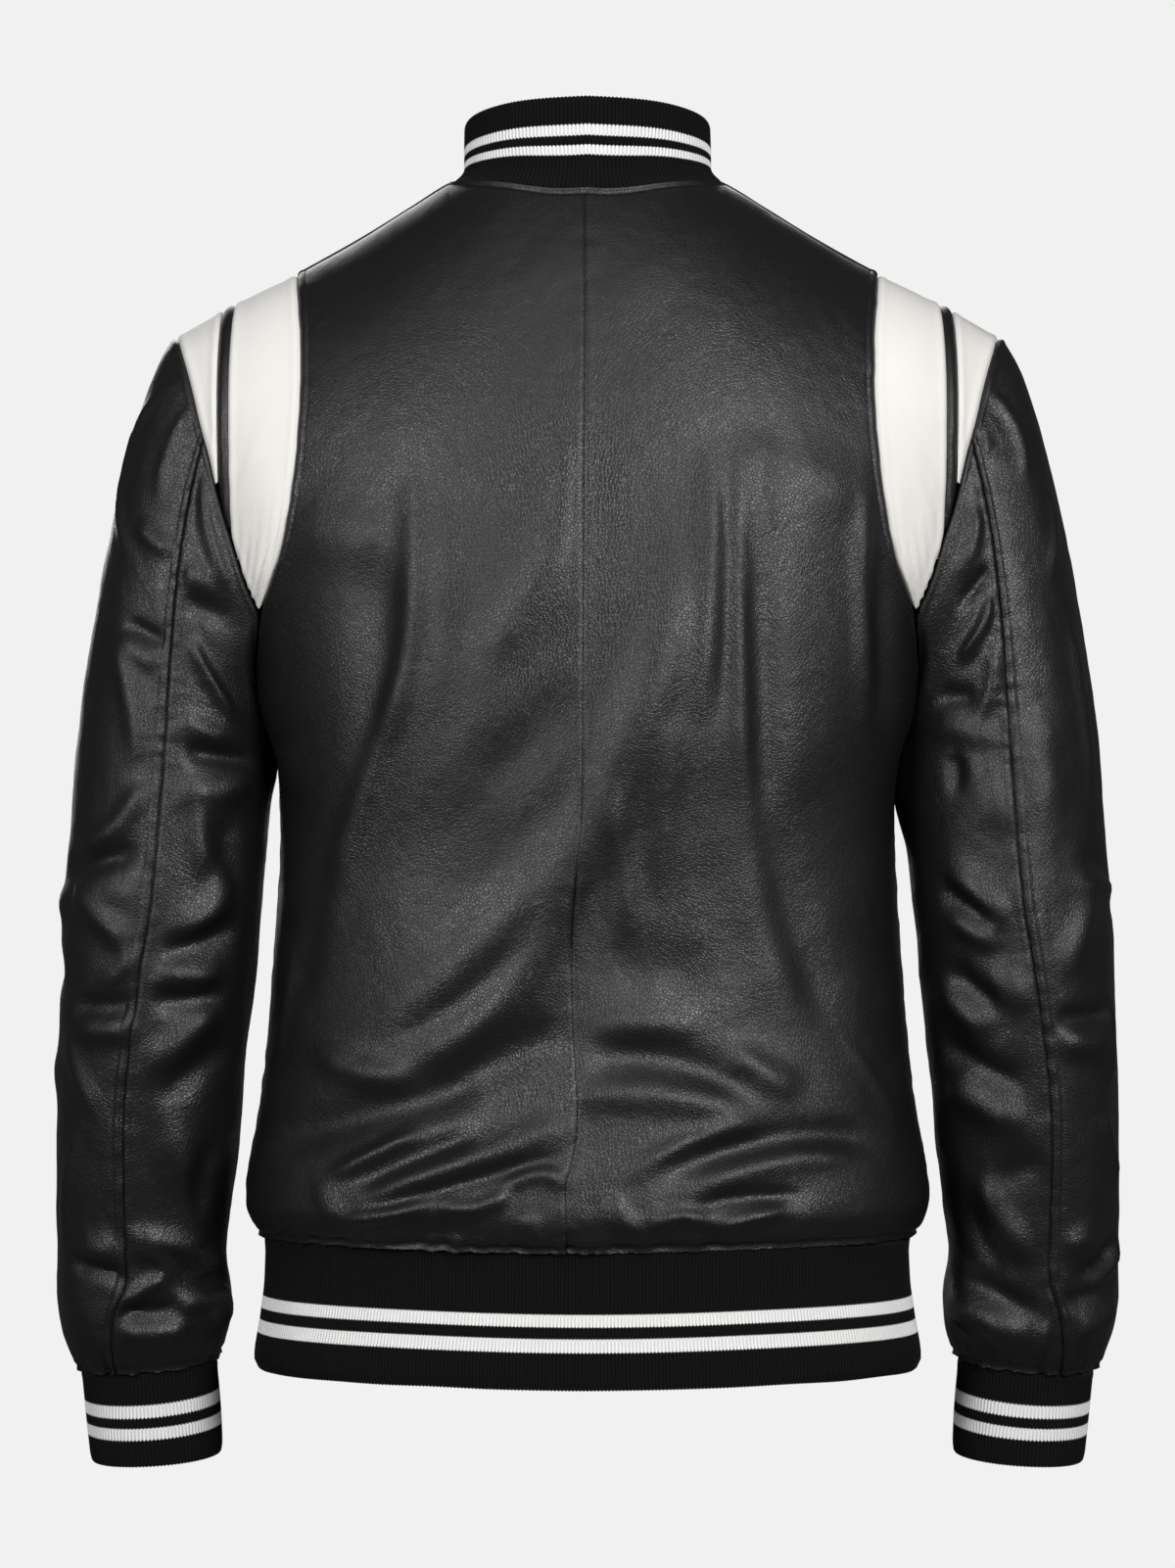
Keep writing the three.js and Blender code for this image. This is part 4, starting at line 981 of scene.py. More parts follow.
def stitch_row(points, normal, distance, inset, keep):
    """Notes the line on a panel that lies a fixed distance from one of its edges."""
    line, raised = [], points + normal * THREAD_LIFT
    for row in range(points.shape[0]):
        order = np.argsort(distance[row])
        near = distance[row][order]
        if near[-1] >= inset and keep[row][order[0]]:
            line.append([np.interp(inset, near, raised[row][order][:, k]) for k in range(3)])
    if len(line) > 4:
        STITCH_LINES.append(np.array(line))


print("topstitching lies", SIDE_INSET, "mm from the armhole and", SLEEVE_INSET, "mm from the sleeve's seam")

# %% A body panel
# Folds fade out over these distances from the side, the hem and the top.
CALM_SIDE, CALM_HEM, CALM_TOP = 14, 10, 25


def body_panel(face, side, columns, rows):
    shares = closer_at_ends(columns)
    steps, half = 2 * closer_at_ends(rows), rows // 2
    ups = np.unique(np.round(np.concatenate([steps[:half], [1.0], steps[-half:]]), 6))
    points = mirror(body(face, shares, ups), side)
    if face == "back":
        points[..., 0] += read(MIDDLE_SEAM, points[..., 2], "drift") * (1 - soft(shares / 0.6))
    # The join between the body and the shoulder is eased, because two rules meet there.
    for _ in range(60):
        ease = 0.5 * bell(ups[1:-1], 0.12, 1)[:, None, None]
        ease = ease * soft((0.97 - shares) / 0.25)[None, :, None]
        points[1:-1] += ease * ((points[2:] + points[:-2]) / 2 - points[1:-1])
    centre = place(0 * points[..., 0], 0 * points[..., 0], points[..., 2])
    normal = outwards(points, centre)
    x, z = points[..., 0], points[..., 2]
    across, along = run(points, 1), run(points, 0)
    to_middle, to_side = across, across[:, -1:] - across
    to_hem, to_top = along, along[-1:] - along
    folds = BACK_FOLDS if face == "back" else FRONT_FOLDS
    calm = soft(to_side / CALM_SIDE) * soft(to_hem / CALM_HEM) * soft(to_top / CALM_TOP)
    lift = fold_lift(folds, x, z) * calm
    wide_waves = ripple(x, z, lengths=(38, 110), seed=11)
    small_waves = ripple(x, z, lengths=(9, 22), seed=12, waves=30)
    lift += (0.3 * wide_waves + 0.07 * small_waves) * calm
    seed = {"back": 20, "front": 40}[face] + (side == "right") * 7
    lift += seam_roll(to_middle, depth=0.7, welt=0.12)
    lift += seam_roll(to_side, depth=1.1, welt=0.5) + seam_roll(to_top, depth=1.1, welt=0.2)
    lift += seam_roll(to_hem, depth=1.2, welt=0.2)
    lift += edge_lip(to_top) + edge_lip(to_hem) * (1 + 0.25 * ripple(x, 0 * x, (4, 7), seed + 3))
    lift += stitch_groove(to_side, SIDE_INSET)
    lift += pucker(to_hem, x, seed, size=0.9, reach=10) * soft(to_side / 6) * soft(to_hem / 3)
    lift += pucker(to_side, z, seed + 1, size=0.35)
    if face == "back":
        lift += pucker(to_middle, z, seed=5, size=0.12, lengths=(10, 24))
    points = points + normal * lift[..., None]
    stitch_row(points, normal, to_side, SIDE_INSET, z > SIDE_STITCH_FROM)
    piece = leather_wall(f"{face}_{side}_panel", points, normal)
    return dress(piece, black_leather, points, f"{face}_{side}")


print("folds start", CALM_SIDE, "mm from the side seam and", CALM_HEM, "mm above the hem's seam")

FINE = 1.0
for side in ("left", "right"):
    body_panel("back", side, int(112 * FINE), int(232 * FINE))
    body_panel("front", side, int(64 * FINE), int(140 * FINE))
print("body panels:", SIZES)

# %% [markdown]
# ## Sleeves
# A jacket sleeve like this is cut in two pieces, so its back seam runs down the middle of what we see.
# The leather bunches at the elbow, and again above the cuff, where it is gathered into the rib. Each
# piece is a grid between the two seams, so the same helper makes all four.


# %% The four sleeve pieces
# The arm's radius turns angles into lengths, folds fade out near the head and the cuff, and each
# piece lies between two seams.
ARM_RADIUS = 55
CALM_HEAD, CALM_CUFF = 16, 9
SLEEVE_STATIONS = {
    "outer": (FRONT_STATION, BACK_STATION),
    "under": (BACK_STATION, 2 * PIT + FRONT_STATION),
}


def sleeve_panel(part, side, columns, rows):
    stations = mix(*SLEEVE_STATIONS[part], closer_at_ends(columns))
    spans = (0, 0.04, 7), (0.04, 1.96, rows), (1.96, 2, 7)
    downs = np.unique(np.concatenate([np.linspace(*span) for span in spans]))
    points = mirror(sleeve(stations, downs), side)
    centre = mirror(place(*(read(ARM, points[..., 2], k) for k in "xy"), points[..., 2]), side)
    normal = outwards(points, centre)
    z = points[..., 2]
    station = np.broadcast_to(stations, z.shape)
    angle = arm_angle(station, np.clip(z, CUFF_SEAM, BICEP))
    angle = np.where(angle > 180, angle - 360, angle)
    across, along = run(points, 1), run(points, 0)
    to_low, to_high = across, across[:, -1:] - across
    to_head, to_cuff = along, along[-1:] - along
    folds = LEFT_SLEEVE_FOLDS if side == "left" else RIGHT_SLEEVE_FOLDS
    wrapped = np.where(angle < -120, angle + 360, angle)
    degree = math.radians(1) * ARM_RADIUS
    around = np.radians(wrapped) * ARM_RADIUS
    lift = fold_lift(folds, np.radians(angle) * ARM_RADIUS, z, degree)
    lift += fold_lift(folds, around, z, degree) * (angle < -120)
    calm = soft(to_head / CALM_HEAD) * soft(to_cuff / CALM_CUFF)
    seed = {"outer": 60, "under": 70}[part] + (side == "right") * 5
    lift += 0.35 * ripple(around, z, lengths=(26, 80), seed=seed)
    lift += 0.08 * ripple(around, z, lengths=(8, 20), seed=seed, waves=30)
    lift *= calm
    seam, other = (to_high, to_low) if part == "outer" else (to_low, to_high)
    lift += seam_roll(seam, welt=0.6 if part == "outer" else 0.3) + seam_roll(other, welt=0.3)
    lift += seam_roll(to_head, welt=0.8) + pucker(to_head, around, seed + 2, size=0.35)
    lift += seam_roll(to_cuff, depth=1.2, welt=0.3) + edge_lip(to_cuff)
    lift += pucker(to_cuff, around, seed + 1, size=1.1, lengths=(8, 20), reach=11)
    lift += pucker(seam, z, seed + 3, size=0.4, lengths=(6, 16))
    if part == "outer":
        lift += stitch_groove(to_high, SLEEVE_INSET)
    points = points + normal * lift[..., None]
    if part == "outer":
        stitch_row(points, normal, to_high, SLEEVE_INSET, np.ones(z.shape, bool))
    piece = leather_wall(f"sleeve_{part}_{side}_panel", points, normal)
    return dress(piece, black_leather, points, f"sleeve_{part}_{side}")


for side in ("left", "right"):
    sleeve_panel("outer", side, int(86 * FINE), int(196 * FINE))
    sleeve_panel("under", side, int(74 * FINE), int(196 * FINE))
print("sleeves:", {k: v for k, v in SIZES.items() if "sleeve" in k})

# %% [markdown]
# ## Shoulder insets
# The white inset fills the gap between the armhole and the sleeve's head. Its black stripe lies
# between two upright lines and runs out into the sleeve's seam, as the cut does. The stripe could be
# painted on. It is a strip of its own, because a maker sews it in, and its edges catch the light.

# %% Edges of the inset and of its stripe
# The stripe's two upright edges, by x, and how far the longest strips stop short of the tip
STRIPE_INNER, STRIPE_OUTER = 200.5, 207.5
TIP_GAP = 0.15


def inset_edges(way):
    count = np.abs(way)
    front = (way < 0)[..., None]
    seam = np.where(front, armhole("front", count), armhole("back", count))
    return seam, head(way)


def inset_across(x, way):
    at_body, at_sleeve = inset_edges(way)
    return np.clip((x - at_body[..., 0]) / (at_sleeve[..., 0] - at_body[..., 0]), 0, 1)


def line_end(x, sign):
    ways = np.arange(0, TIP - 0.3, 0.05) * sign
    past = np.nonzero(inset_across(x, ways) >= 0.96)[0]
    return float(ways[past[0]]) if len(past) else float(ways[-1])


def at_body(way):
    return np.zeros_like(way)


def at_sleeve(way):
    return np.ones_like(way)


def stripe_inner(way):
    return inset_across(STRIPE_INNER, way)


def stripe_outer(way):
    return inset_across(STRIPE_OUTER, way)


print("the stripe's inner edge ends at station", round(line_end(STRIPE_INNER, 1), 2), "at the back")


# %% Strips of the inset
def inset_strip(name, node_name, side, low, high, ends, columns, material):
    ways = mix(ends[0], ends[1], np.linspace(0, 1, int(150 * FINE)))
    inner, outer = inset_edges(ways)
    t = mix(low(ways)[:, None], high(ways)[:, None], closer_at_ends(columns)[None, :])
    points = mix(inner[:, None], outer[:, None], t[..., None])
    centre = place(150 + 0 * t, 0 * t, points[..., 2])
    normal = outwards(points, centre)
    narrow = np.minimum(1, np.linalg.norm(outer - inner, axis=-1) / 72)[:, None]
    bulge = mix(1.5, 6, soft(np.abs(ways) / 5))[:, None] * 4 * t * (1 - t) * narrow
    across = run(points, 1)
    roll = seam_roll(across, 1.1) + seam_roll(across[:, -1:] - across, 1.1)
    roll *= np.minimum(1, across[:, -1:] / 8)
    along = run(points, 0)
    away = np.abs(ways)[:, None]
    wrinkle = 0.35 * ripple(across, along, (12, 34), 90 + (side == "right")) * soft(away / 4 - 1)
    tip = soft((away - 6.5) / 2)
    wrinkle = wrinkle + 0.7 * tip * np.sin(across / 1.35 + 1.0) * soft(across / 3)
    points = mirror(points + normal * (bulge + roll + wrinkle)[..., None], side)
    normal = mirror(normal, side)
    piece = leather_wall(name, points, normal)
    return dress(piece, material, points, node_name)


tips = (-(TIP - TIP_GAP), TIP - TIP_GAP)
inner_ends = (line_end(STRIPE_INNER, -1), line_end(STRIPE_INNER, 1))
outer_ends = (line_end(STRIPE_OUTER, -1), line_end(STRIPE_OUTER, 1))
STRIPS = [
    ("inset", "white", at_body, stripe_inner, tips, 26, white_leather),
    ("stripe", "black", stripe_inner, stripe_outer, inner_ends, 12, black_leather),
    ("inset_outer", "white", stripe_outer, at_sleeve, outer_ends, 18, white_leather),
]
for side in ("left", "right"):
    for kind, colour, low, high, ends, columns, material in STRIPS:
        name, node_name, slot = f"{kind}_{side}_{colour}", f"{kind}_{side}", f"{colour}_leather"
        inset_strip(name, node_name, side, low, high, ends, columns, material)
print("insets:", {k: v for k, v in SIZES.items() if "inset" in k or "stripe" in k})

# %% [markdown]
# ## Rib knit
# A rib band is one strip of knitting folded double, so its free edge is round. Its ribs stand up in
# rows across the band. A bump in the finish would do for a far view. They are real waves in the mesh
# here, because they show on the band's outline and catch the light even from a step away.

# %% Sizes of the bands, and columns at even spacing
# From rib to rib, how deep the ribs are, and the points across each
RIB_PITCH, RIB_DEPTH, PER_RIB = 2.2, 0.75, 4
# The girths that give the bands their number of ribs, and the heights their stripes are counted over
HEM_GIRTH, CUFF_GIRTH, COLLAR_GIRTH = 1115, 238, 440
HEM_TALL, CUFF_TALL = 76.5, 56
# The last row of points lies this far inside the rounded free edge.
ROUND_EDGE = 1.5
# Rows that close the free edge, by their angle in degrees
RIM_BENDS = [25, 55, 90, 125, 155]


def even(points, count_at):
    """Columns of a dense grid, moved to even spacing along the band."""
    length = run(points, 1)
    share = length.mean(0) / length.mean(0)[-1]
    return np.stack(
        [[np.interp(count_at, share, row[:, k]) for k in range(3)] for row in points]
    ).swapaxes(1, 2)


print("ribs round the hem:", round(HEM_GIRTH / RIB_PITCH), "round a cuff:", round(CUFF_GIRTH / RIB_PITCH))


# %% A band folded over its free edge
def folded_band(name, place_at, girth, rows, ring, v_at, node_name, material):
    """place_at(turn, height) gives points from the seam, height 0, to the free edge, height 1."""
    ribs = int(round(girth / RIB_PITCH))
    samples = ribs * PER_RIB + (0 if ring else 1)
    turn = np.arange(samples) / (ribs * PER_RIB)
    height = np.linspace(0, 1, rows)
    points = place_at(turn, height)
    normal = directions(points, ring)
    centre = points.mean((0, 1))
    if (normal[..., :2] * (points - centre)[..., :2]).sum() < 0:
        normal = -normal
    along = run(points, 0)
    length = along[-1].mean()
    count = turn * ribs
    wave = RIB_DEPTH * (np.abs(np.sin(np.pi * count)) ** 0.8 - 1)[None, :]
    near_seam = soft(along / 5)
    sway = 0.35 * ripple(count[None, :] * RIB_PITCH, along, (50, 140), 33)
    outer = points + normal * (wave * near_seam + sway * near_seam)[..., None]
    outer = outer - normal * bell(along, 2.0)[..., None]
    inner = points + normal * (-RIB - wave * 0.6 + sway * near_seam)[..., None]
    end = unit(points[-1] - points[-2])
    bend = np.radians(RIM_BENDS)[:, None, None]
    middle = (outer[-1] + inner[-1]) / 2
    half = np.linalg.norm(outer[-1] - inner[-1], axis=-1, keepdims=True) / 2
    rim = middle + normal[-1] * half * np.cos(bend) + end * half * np.sin(bend)
    keep_inner = np.linspace(rows - 1, 0, 8).astype(int)
    loops = np.concatenate([outer, rim, inner[keep_inner]])
    v_outer = v_at(height[:, None], points)
    v_rim = np.repeat(v_outer[-1:], len(RIM_BENDS), axis=0)
    v = np.concatenate([v_outer, v_rim, v_outer[keep_inner]])
    if len(v) % 2:
        loops, v = np.delete(loops, rows, axis=0), np.delete(v, rows, axis=0)
    uv = np.stack(np.broadcast_arrays(count[None, :], v), -1)
    piece = closed_mesh(name, loops, ring, uv)
    print(f"{name}: {ribs} ribs, {length:.1f} mm high")
    return dress(piece, material, points, node_name, ring)


print("the free edge is closed by", len(RIM_BENDS), "rows")


# %% [markdown]
# ## The hem
# The hem is the widest band. It runs once round the body and stops at the front, where the jacket
# opens. It could be a tube with a slit. A strip whose columns are spread evenly from one front end to
# the other is simpler, because then every rib has the same width.


# %% The hem, open at the middle of the front
# The share of the girth that is left open at each front end
HEM_SLIT = 0.0006


def round_body(make, dense=160):
    """One side from the middle of the front to the middle of the back, and its mirror image."""
    share = np.linspace(0, 1, dense)
    half = np.concatenate([make("front", share), make("back", share[::-1])[:, 1:]], axis=1)
    return np.concatenate([half, mirror(half, "right")[:, ::-1][:, 1:]], axis=1)


def hem_at(turn, height):
    def make(face, share):
        s, z = np.meshgrid(share, mix(HEM_SEAM, HEM_EDGE + ROUND_EDGE, height))
        return torso(face, s, z)

    return even(round_body(make), mix(HEM_SLIT, 1 - HEM_SLIT, turn))


def from_edge(tall):
    return lambda height, points: tall * (1 - height) + 0 * points[..., 2]


folded_band("hem_band", hem_at, HEM_GIRTH, 18, False, from_edge(HEM_TALL), "hem", hem_knit)


# %% [markdown]
# ## The cuffs
# A cuff is the same knitting, sewn into a ring. It could be made as a strip with its ends together.
# A ring has no ends to hide, so one more column of faces joins its last points to its first.


# %% The cuffs
def cuff_at(side):
    def at(turn, height):
        angle = np.linspace(0, 360, 241)
        a, z = np.meshgrid(angle, mix(CUFF_SEAM, CUFF_EDGE + ROUND_EDGE, height))
        return mirror(even(arm(a, z), turn), side)

    return at


for side in ("left", "right"):
    stripes_at = from_edge(CUFF_TALL)
    name, node_name = f"cuff_{side}_band", f"cuff_{side}"
    folded_band(name, cuff_at(side), CUFF_GIRTH, 18, True, stripes_at, node_name, cuff_knit)


# %% [markdown]
# ## The collar
# The collar stands up from the neck seam and leans in a little to its rim. Its foot follows the body
# and its rim is a plain oval, so each column of points runs from the one to the other. The lean
# happens low down, which makes the collar stand upright above it as knitting does.


# %% The collar
# The share left open at each front end, the low part that leans in, how the rows crowd near the foot,
# and the gap above the neck seam
COLLAR_SLIT, FOOT_SHARE, RISE_FORM, FOOT_LIFT = 0.0012, 0.3, 1.3, 0.3


def collar_at(turn, height):
    def make(face, share):
        angle = np.radians(90 * share)
        foot = body(face, neck_share(np.degrees(angle)), np.array([2.0]))[0]
        deep = NECK_BACK if face == "back" else NECK_FRONT
        about = np.arctan2(foot[:, 0] / NECK_WIDE, foot[:, 1] / deep)
        rim_deep = RIM_BACK if face == "back" else RIM_FRONT
        top = read(COLLAR_TOP, np.degrees(about), "z")
        rim = place(RIM_WIDE * np.sin(about), rim_deep * np.cos(about), top)
        rise = height[:, None] ** RISE_FORM
        stand = (1 - np.minimum(1, rise / FOOT_SHARE)) ** 2
        return place(
            mix(rim[:, 0], foot[:, 0], stand),
            mix(rim[:, 1], foot[:, 1], stand),
            mix(foot[:, 2] + FOOT_LIFT, rim[:, 2] - ROUND_EDGE, rise),
        )

    return even(round_body(make, 90), mix(COLLAR_SLIT, 1 - COLLAR_SLIT, turn))


def below_rim(height, points):
    depth = points[-1, :, 2] - points[..., 2]
    return depth * (depth[0].max() / depth[0]) ** (0.9 * depth / depth[0])


folded_band("collar_band", collar_at, COLLAR_GIRTH, 24, False, below_rim, "collar", collar_knit)

# %% [markdown]
# ## The placket
# The meeting edges of the fronts are covered by a strip of leather, the placket. It isn't seen from
# behind, so it is plain. It could be a flat box bent to the body. Here its points are read off the
# fronts and the hem below them, so that it follows both closely.


# %% The placket over the middle of the front
# Half its width, its height above the fronts, its top end, and the shares of the front it is read from
PLACKET_HALF, PLACKET_LIFT, PLACKET_TOP = 18, 2.3, -73
PLACKET_SHARES = [0.0, 0.12, 0.24]


def placket_points():
    ups = np.linspace(0.0, 2.0, int(180 * FINE))
    middle = body("front", np.array(PLACKET_SHARES), ups)
    heights = np.linspace(HEM_EDGE, HEM_SEAM, 26)[:-1]
    low = torso("front", *np.meshgrid(PLACKET_SHARES, heights))
    rows = np.concatenate([low, middle])
    rows = rows[rows[:, 0, 2] < PLACKET_TOP]
    x = np.linspace(-PLACKET_HALF, PLACKET_HALF, 25)
    half = np.stack([[np.interp(np.abs(x), row[:, 0], row[:, k]) for k in range(3)] for row in rows])
    half = half.swapaxes(1, 2)
    half[..., 0] = x
    return half


points = placket_points()
normal = outwards(points, place(0 * points[..., 0], 0 * points[..., 0], points[..., 2]))
across, along = run(points, 1), run(points, 0)
edge = np.minimum(across, across[:, -1:] - across)
points = points + normal * (PLACKET_LIFT - 0.9 * bell(edge, 1.2))[..., None]
for distance in (across, across[:, -1:] - across):
    stitch_row(points, normal, distance, PLACKET_INSET, along > 2)
strip = leather_wall("placket_strip", points, normal)
dress(strip, black_leather, points, "placket")
placket_line, placket_out = points[:, 12], normal[:, 12]
print("the placket is, in mm and m2:", SIZES["placket_strip"])

# %% [markdown]
# ## Stitches by geometry nodes
# A stitch is a short rounded bar that is repeated thousands of times. Copies placed by hand would
# never end, so geometry nodes place them: the seam lines become curves, each curve is cut into points
# one stitch apart, and a bar turned along the curve goes on each point.


# %% A tree that copies a small bar along lines
# In metres
STITCH = {"Spacing": 0.0034, "Stitch length": 0.0025, "Thickness": 0.00055}


def group(name, inputs):
    tree = bpy.data.node_groups.new(name, "GeometryNodeTree")
    tree.interface.new_socket("Geometry", in_out="INPUT", socket_type="NodeSocketGeometry")
    for label, value in inputs.items():
        socket = tree.interface.new_socket(label, in_out="INPUT", socket_type="NodeSocketFloat")
        socket.default_value = value
    tree.interface.new_socket("Geometry", in_out="OUTPUT", socket_type="NodeSocketGeometry")
    return tree, tree.nodes.new("NodeGroupInput"), tree.nodes.new("NodeGroupOutput")


def stitch_tree():
    tree, given, result = group("stitches along lines", STITCH)
    thick, long = given.outputs["Thickness"], given.outputs["Stitch length"]
    lines = node(tree, "GeometryNodeMeshToCurve", {"Mesh": given.outputs["Geometry"]})
    cut = {"Curve": lines.outputs[0], "Length": given.outputs["Spacing"]}
    dots = node(tree, "GeometryNodeCurveToPoints", cut, mode="LENGTH")
    bar = node(tree, "GeometryNodeMeshUVSphere", {"Segments": 6, "Rings": 4, "Radius": 0.5})
    size = node(tree, "ShaderNodeCombineXYZ", {0: thick, 1: thick, 2: long})
    wanted = {
        "Points": dots.outputs["Points"],
        "Instance": bar.outputs[0],
        "Rotation": dots.outputs["Rotation"],
        "Scale": size.outputs[0],
    }
    copies = node(tree, "GeometryNodeInstanceOnPoints", wanted)
    real = node(tree, "GeometryNodeRealizeInstances", {0: copies.outputs[0]})
    paint = {"Geometry": real.outputs[0], "Material": thread}
    coloured = node(tree, "GeometryNodeSetMaterial", paint)
    tree.links.new(coloured.outputs[0], result.inputs[0])
    return tree


stitching = stitch_tree()
print("nodes in the stitching tree:", len(stitching.nodes))

# %% [markdown]
# ## From the tree to an ordinary mesh
# A modifier runs the tree on the seam lines. What comes out is kept as an ordinary mesh and the
# modifier is taken off again, so that the piece can be measured and exported like any other.


# %% Run a tree and keep what it makes
def made_plain(source, tree, name, sizes):
    """Runs the tree on the source and keeps the result as an ordinary mesh."""
    modifier = source.modifiers.new("copies", "NODES")
    modifier.node_group = tree
    sockets = {s.name: s.identifier for s in tree.interface.items_tree if s.in_out == "INPUT"}
    for label, value in sizes.items():
        modifier[sockets[label]] = value
    grown = source.evaluated_get(bpy.context.evaluated_depsgraph_get())
    mesh = bpy.data.meshes.new_from_object(grown)
    source.modifiers.remove(modifier)
    bpy.data.objects.remove(source)
    mesh.name = name
    return put(name, mesh)


def lines_object(name, lines):
    points = np.concatenate(lines) / 1000
    starts = np.cumsum([0] + [len(line) for line in lines])
    edges = [(i, i + 1) for a, b in zip(starts[:-1], starts[1:]) for i in range(a, b - 1)]
    mesh = bpy.data.meshes.new(name)
    mesh.from_pydata(points.tolist(), edges, [])
    return put(name, mesh)


seams = lines_object("stitch lines", STITCH_LINES)
stitches = made_plain(seams, stitching, "topstitching", STITCH)
stitches.data.shade_smooth()
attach(stitches, "root")
print("stitch lines:", len(STITCH_LINES), "faces:", len(stitches.data.polygons))

# %% [markdown]
# ## Snap caps
# A snap's cap is a small turned disc with a shallow groove round its low dome. One outline, given as
# radius and height, is turned round the placket's outward direction at seven heights. A loop is
# enough for seven, and all the caps become one mesh.


# %% Snap caps on the placket
# The highest and lowest cap, how many there are, and how far each one's base and top stand out
SNAP_TOP, SNAP_LOW, SNAPS = -108, -655, 7
SNAP_BASE, SNAP_DOME = 0.45, 2.55
CAP = table(
    "radius rise", (7.3, 0), (7.4, 0.7), (7.0, 1.4), (5.6, 2.0), (4.6, 1.9), (3.9, 2.15), (2.0, 2.5)
)


def snap_caps():
    turn = np.linspace(0, 2 * np.pi, 36, endpoint=False)
    vertices, faces = [], []
    for z in np.linspace(SNAP_TOP, SNAP_LOW, SNAPS):
        i = int(np.abs(placket_line[:, 2] - z).argmin())
        n = placket_out[i]
        a = np.cross(n, [1.0, 0, 0])
        b = np.cross(n, a)
        base = placket_line[i] + n * SNAP_BASE
        circle = np.cos(turn)[:, None] * unit(a) + np.sin(turn)[:, None] * unit(b)
        first = len(vertices)
        for r, h in zip(CAP["radius"], CAP["rise"]):
            vertices += (base + n * h + r * circle).tolist()
        vertices += [(base + n * SNAP_DOME).tolist(), base.tolist()]
        k, m = len(turn), len(CAP["rise"])
        for row in range(m - 1):
            for j in range(k):
                p, q = first + row * k + j, first + row * k + (j + 1) % k
                faces.append((p, q, q + k, p + k))
        for j in range(k):
            top = first + (m - 1) * k
            faces.append((top + j, top + (j + 1) % k, first + m * k))
            faces.append((first + (j + 1) % k, first + j, first + m * k + 1))
    mesh = bpy.data.meshes.new("snap_caps")
    mesh.from_pydata((np.array(vertices) / 1000).tolist(), [], faces)
    mesh.shade_smooth()
    mesh.set_sharp_from_angle(angle=math.radians(50))
    return put("snap_caps", mesh)


snaps = snap_caps()
snaps.data.materials.append(snap_metal)
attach(snaps, "root")
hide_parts(*[f"snap_{i}" for i in range(1, 8)])
print("snap caps:", SNAPS, "with", len(snaps.data.polygons), "faces")

# %% [markdown]
# ## The floor
# The backdrop is plain and pale, and the floor is a wide pale disc below the jacket. It glows a
# little, so that it doesn't turn dark away from the lights. It is hidden from bounced and mirrored
# light. Else it would brighten the leather from below.

# %% Floor
bpy.ops.mesh.primitive_circle_add(vertices=96, radius=3.0, fill_type="NGON", location=(0, 0, -1.4))
floor = bpy.context.object
floor.name = "floor"
pale, white = (0.85, 0.85, 0.85, 1), (1, 1, 1, 1)
floor_paint, _, floor_shader = finish("pale floor", Roughness=0.8, Base_Color=pale, Emission_Color=white)
floor_shader.inputs["Emission Strength"].default_value = 0.3
floor.visible_diffuse = floor.visible_glossy = False
floor.data.materials.append(floor_paint)
print("the floor is", floor.dimensions.x, "m wide and lies at", round(floor.location.z, 3), "m")

# %% [markdown]
# ## The light
# Black leather shows its folds by the sheen of wide lights. A large soft box stands at each side of
# the camera, a little higher than the jacket, and the key is the stronger one. A weak one hangs over
# the back, one lights the front, and two faint ones the sides. The camera sees a pale world, but the
# world lights the jacket only faintly, because light from everywhere would wash the folds out.


# %% World and soft boxes
def aim(thing, target):
    direction = Vector(target) - thing.location
    thing.rotation_euler = direction.to_track_quat("-Z", "Y").to_euler()


def soft_box(name, location, target, size, watts):
    light = bpy.data.lights.new(name, "AREA")
    light.shape = "RECTANGLE"
    light.size, light.size_y = size
    light.energy = watts
    made = bpy.data.objects.new(name, light)
    made.location = location
    bpy.context.collection.objects.link(made)
    aim(made, target)
    return made


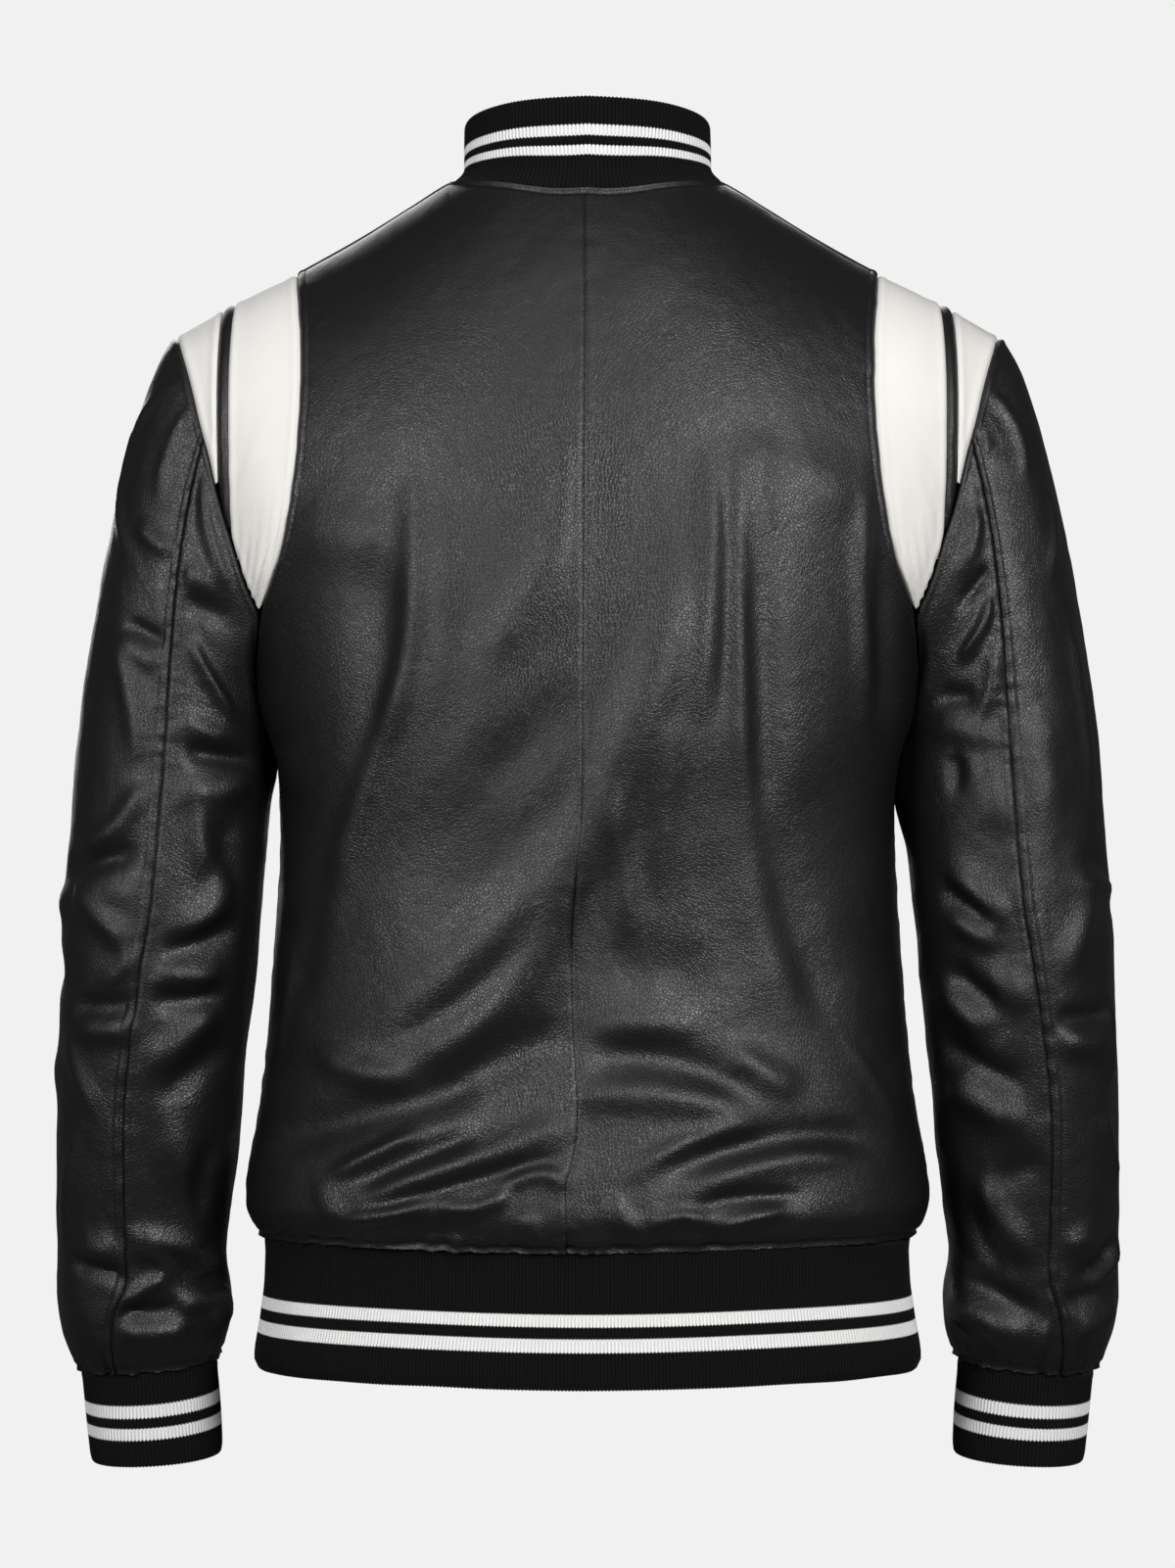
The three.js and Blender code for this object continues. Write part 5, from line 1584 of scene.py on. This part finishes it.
world = bpy.data.worlds.new("pale studio")
bpy.context.scene.world = world
world.use_nodes = True
sky = world.node_tree
sky.nodes.clear()
seen = node(sky, "ShaderNodeBackground", {"Color": (0.88, 0.88, 0.88, 1), "Strength": 1.0})
lit = node(sky, "ShaderNodeBackground", {"Color": (0.9, 0.92, 0.95, 1), "Strength": 0.07})
ray = node(sky, "ShaderNodeLightPath")
choose = node(sky, "ShaderNodeMixShader", {0: ray.outputs["Is Camera Ray"]})
sky.links.new(lit.outputs[0], choose.inputs[1])
sky.links.new(seen.outputs[0], choose.inputs[2])
node(sky, "ShaderNodeOutputWorld", {0: choose.outputs[0]})

# Each box: its place, what it points at, its width and height in metres, and its watts
soft_box("key", (-1.6, 3.0, 0.65), (0, 0.1, -0.35), (1.0, 1.2), 77)
soft_box("fill", (1.8, 2.9, 0.45), (0, 0.1, -0.35), (1.0, 1.3), 54)
soft_box("top", (0, 1.7, 1.7), (0, 0.1, -0.35), (1.8, 0.9), 10)
soft_box("front fill", (0.4, -3.0, 0.6), (0, 0, -0.35), (2.0, 2.0), 42)
soft_box("side right", (-2.6, 1.2, 0.1), (-0.25, 0, -0.4), (0.8, 1.8), 4)
soft_box("side left", (2.6, 1.2, 0.1), (0.25, 0, -0.4), (0.8, 1.8), 4)
print("soft boxes:", {light.name: light.energy for light in bpy.data.lights})

# %% [markdown]
# ## The camera
# The camera stands straight behind the jacket, at the height of its middle. A long lens from 3.4
# metres away keeps the edges of the sleeves nearly as large as the back between them.

# %% Camera
lens = bpy.data.cameras.new("camera")
lens.lens, lens.sensor_width, lens.sensor_fit = 136.5, 36.0, "AUTO"
lens.clip_end = 50
camera = bpy.data.objects.new("camera", lens)
camera.location = (0, 3.4, -0.342)
camera.rotation_euler = (math.pi / 2, 0, math.pi)
bpy.context.collection.objects.link(camera)
bpy.context.scene.camera = camera
bpy.context.scene.view_settings.view_transform = "Standard"
bpy.context.scene.view_settings.look = "None"
print("the camera is", round(camera.location.y, 3), "m behind, its lens", round(lens.lens, 1), "mm")

# %% [markdown]
# ## The last look
# What was added is counted in triangles.

# %% Count the triangles
triangles = {
    thing.name: sum(len(face.vertices) - 2 for face in thing.data.polygons)
    for thing in bpy.data.objects
    if thing.type == "MESH" and "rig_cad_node" not in thing
}
print("triangles:", sum(triangles.values()), "largest:", max(triangles.items(), key=lambda t: t[1]))
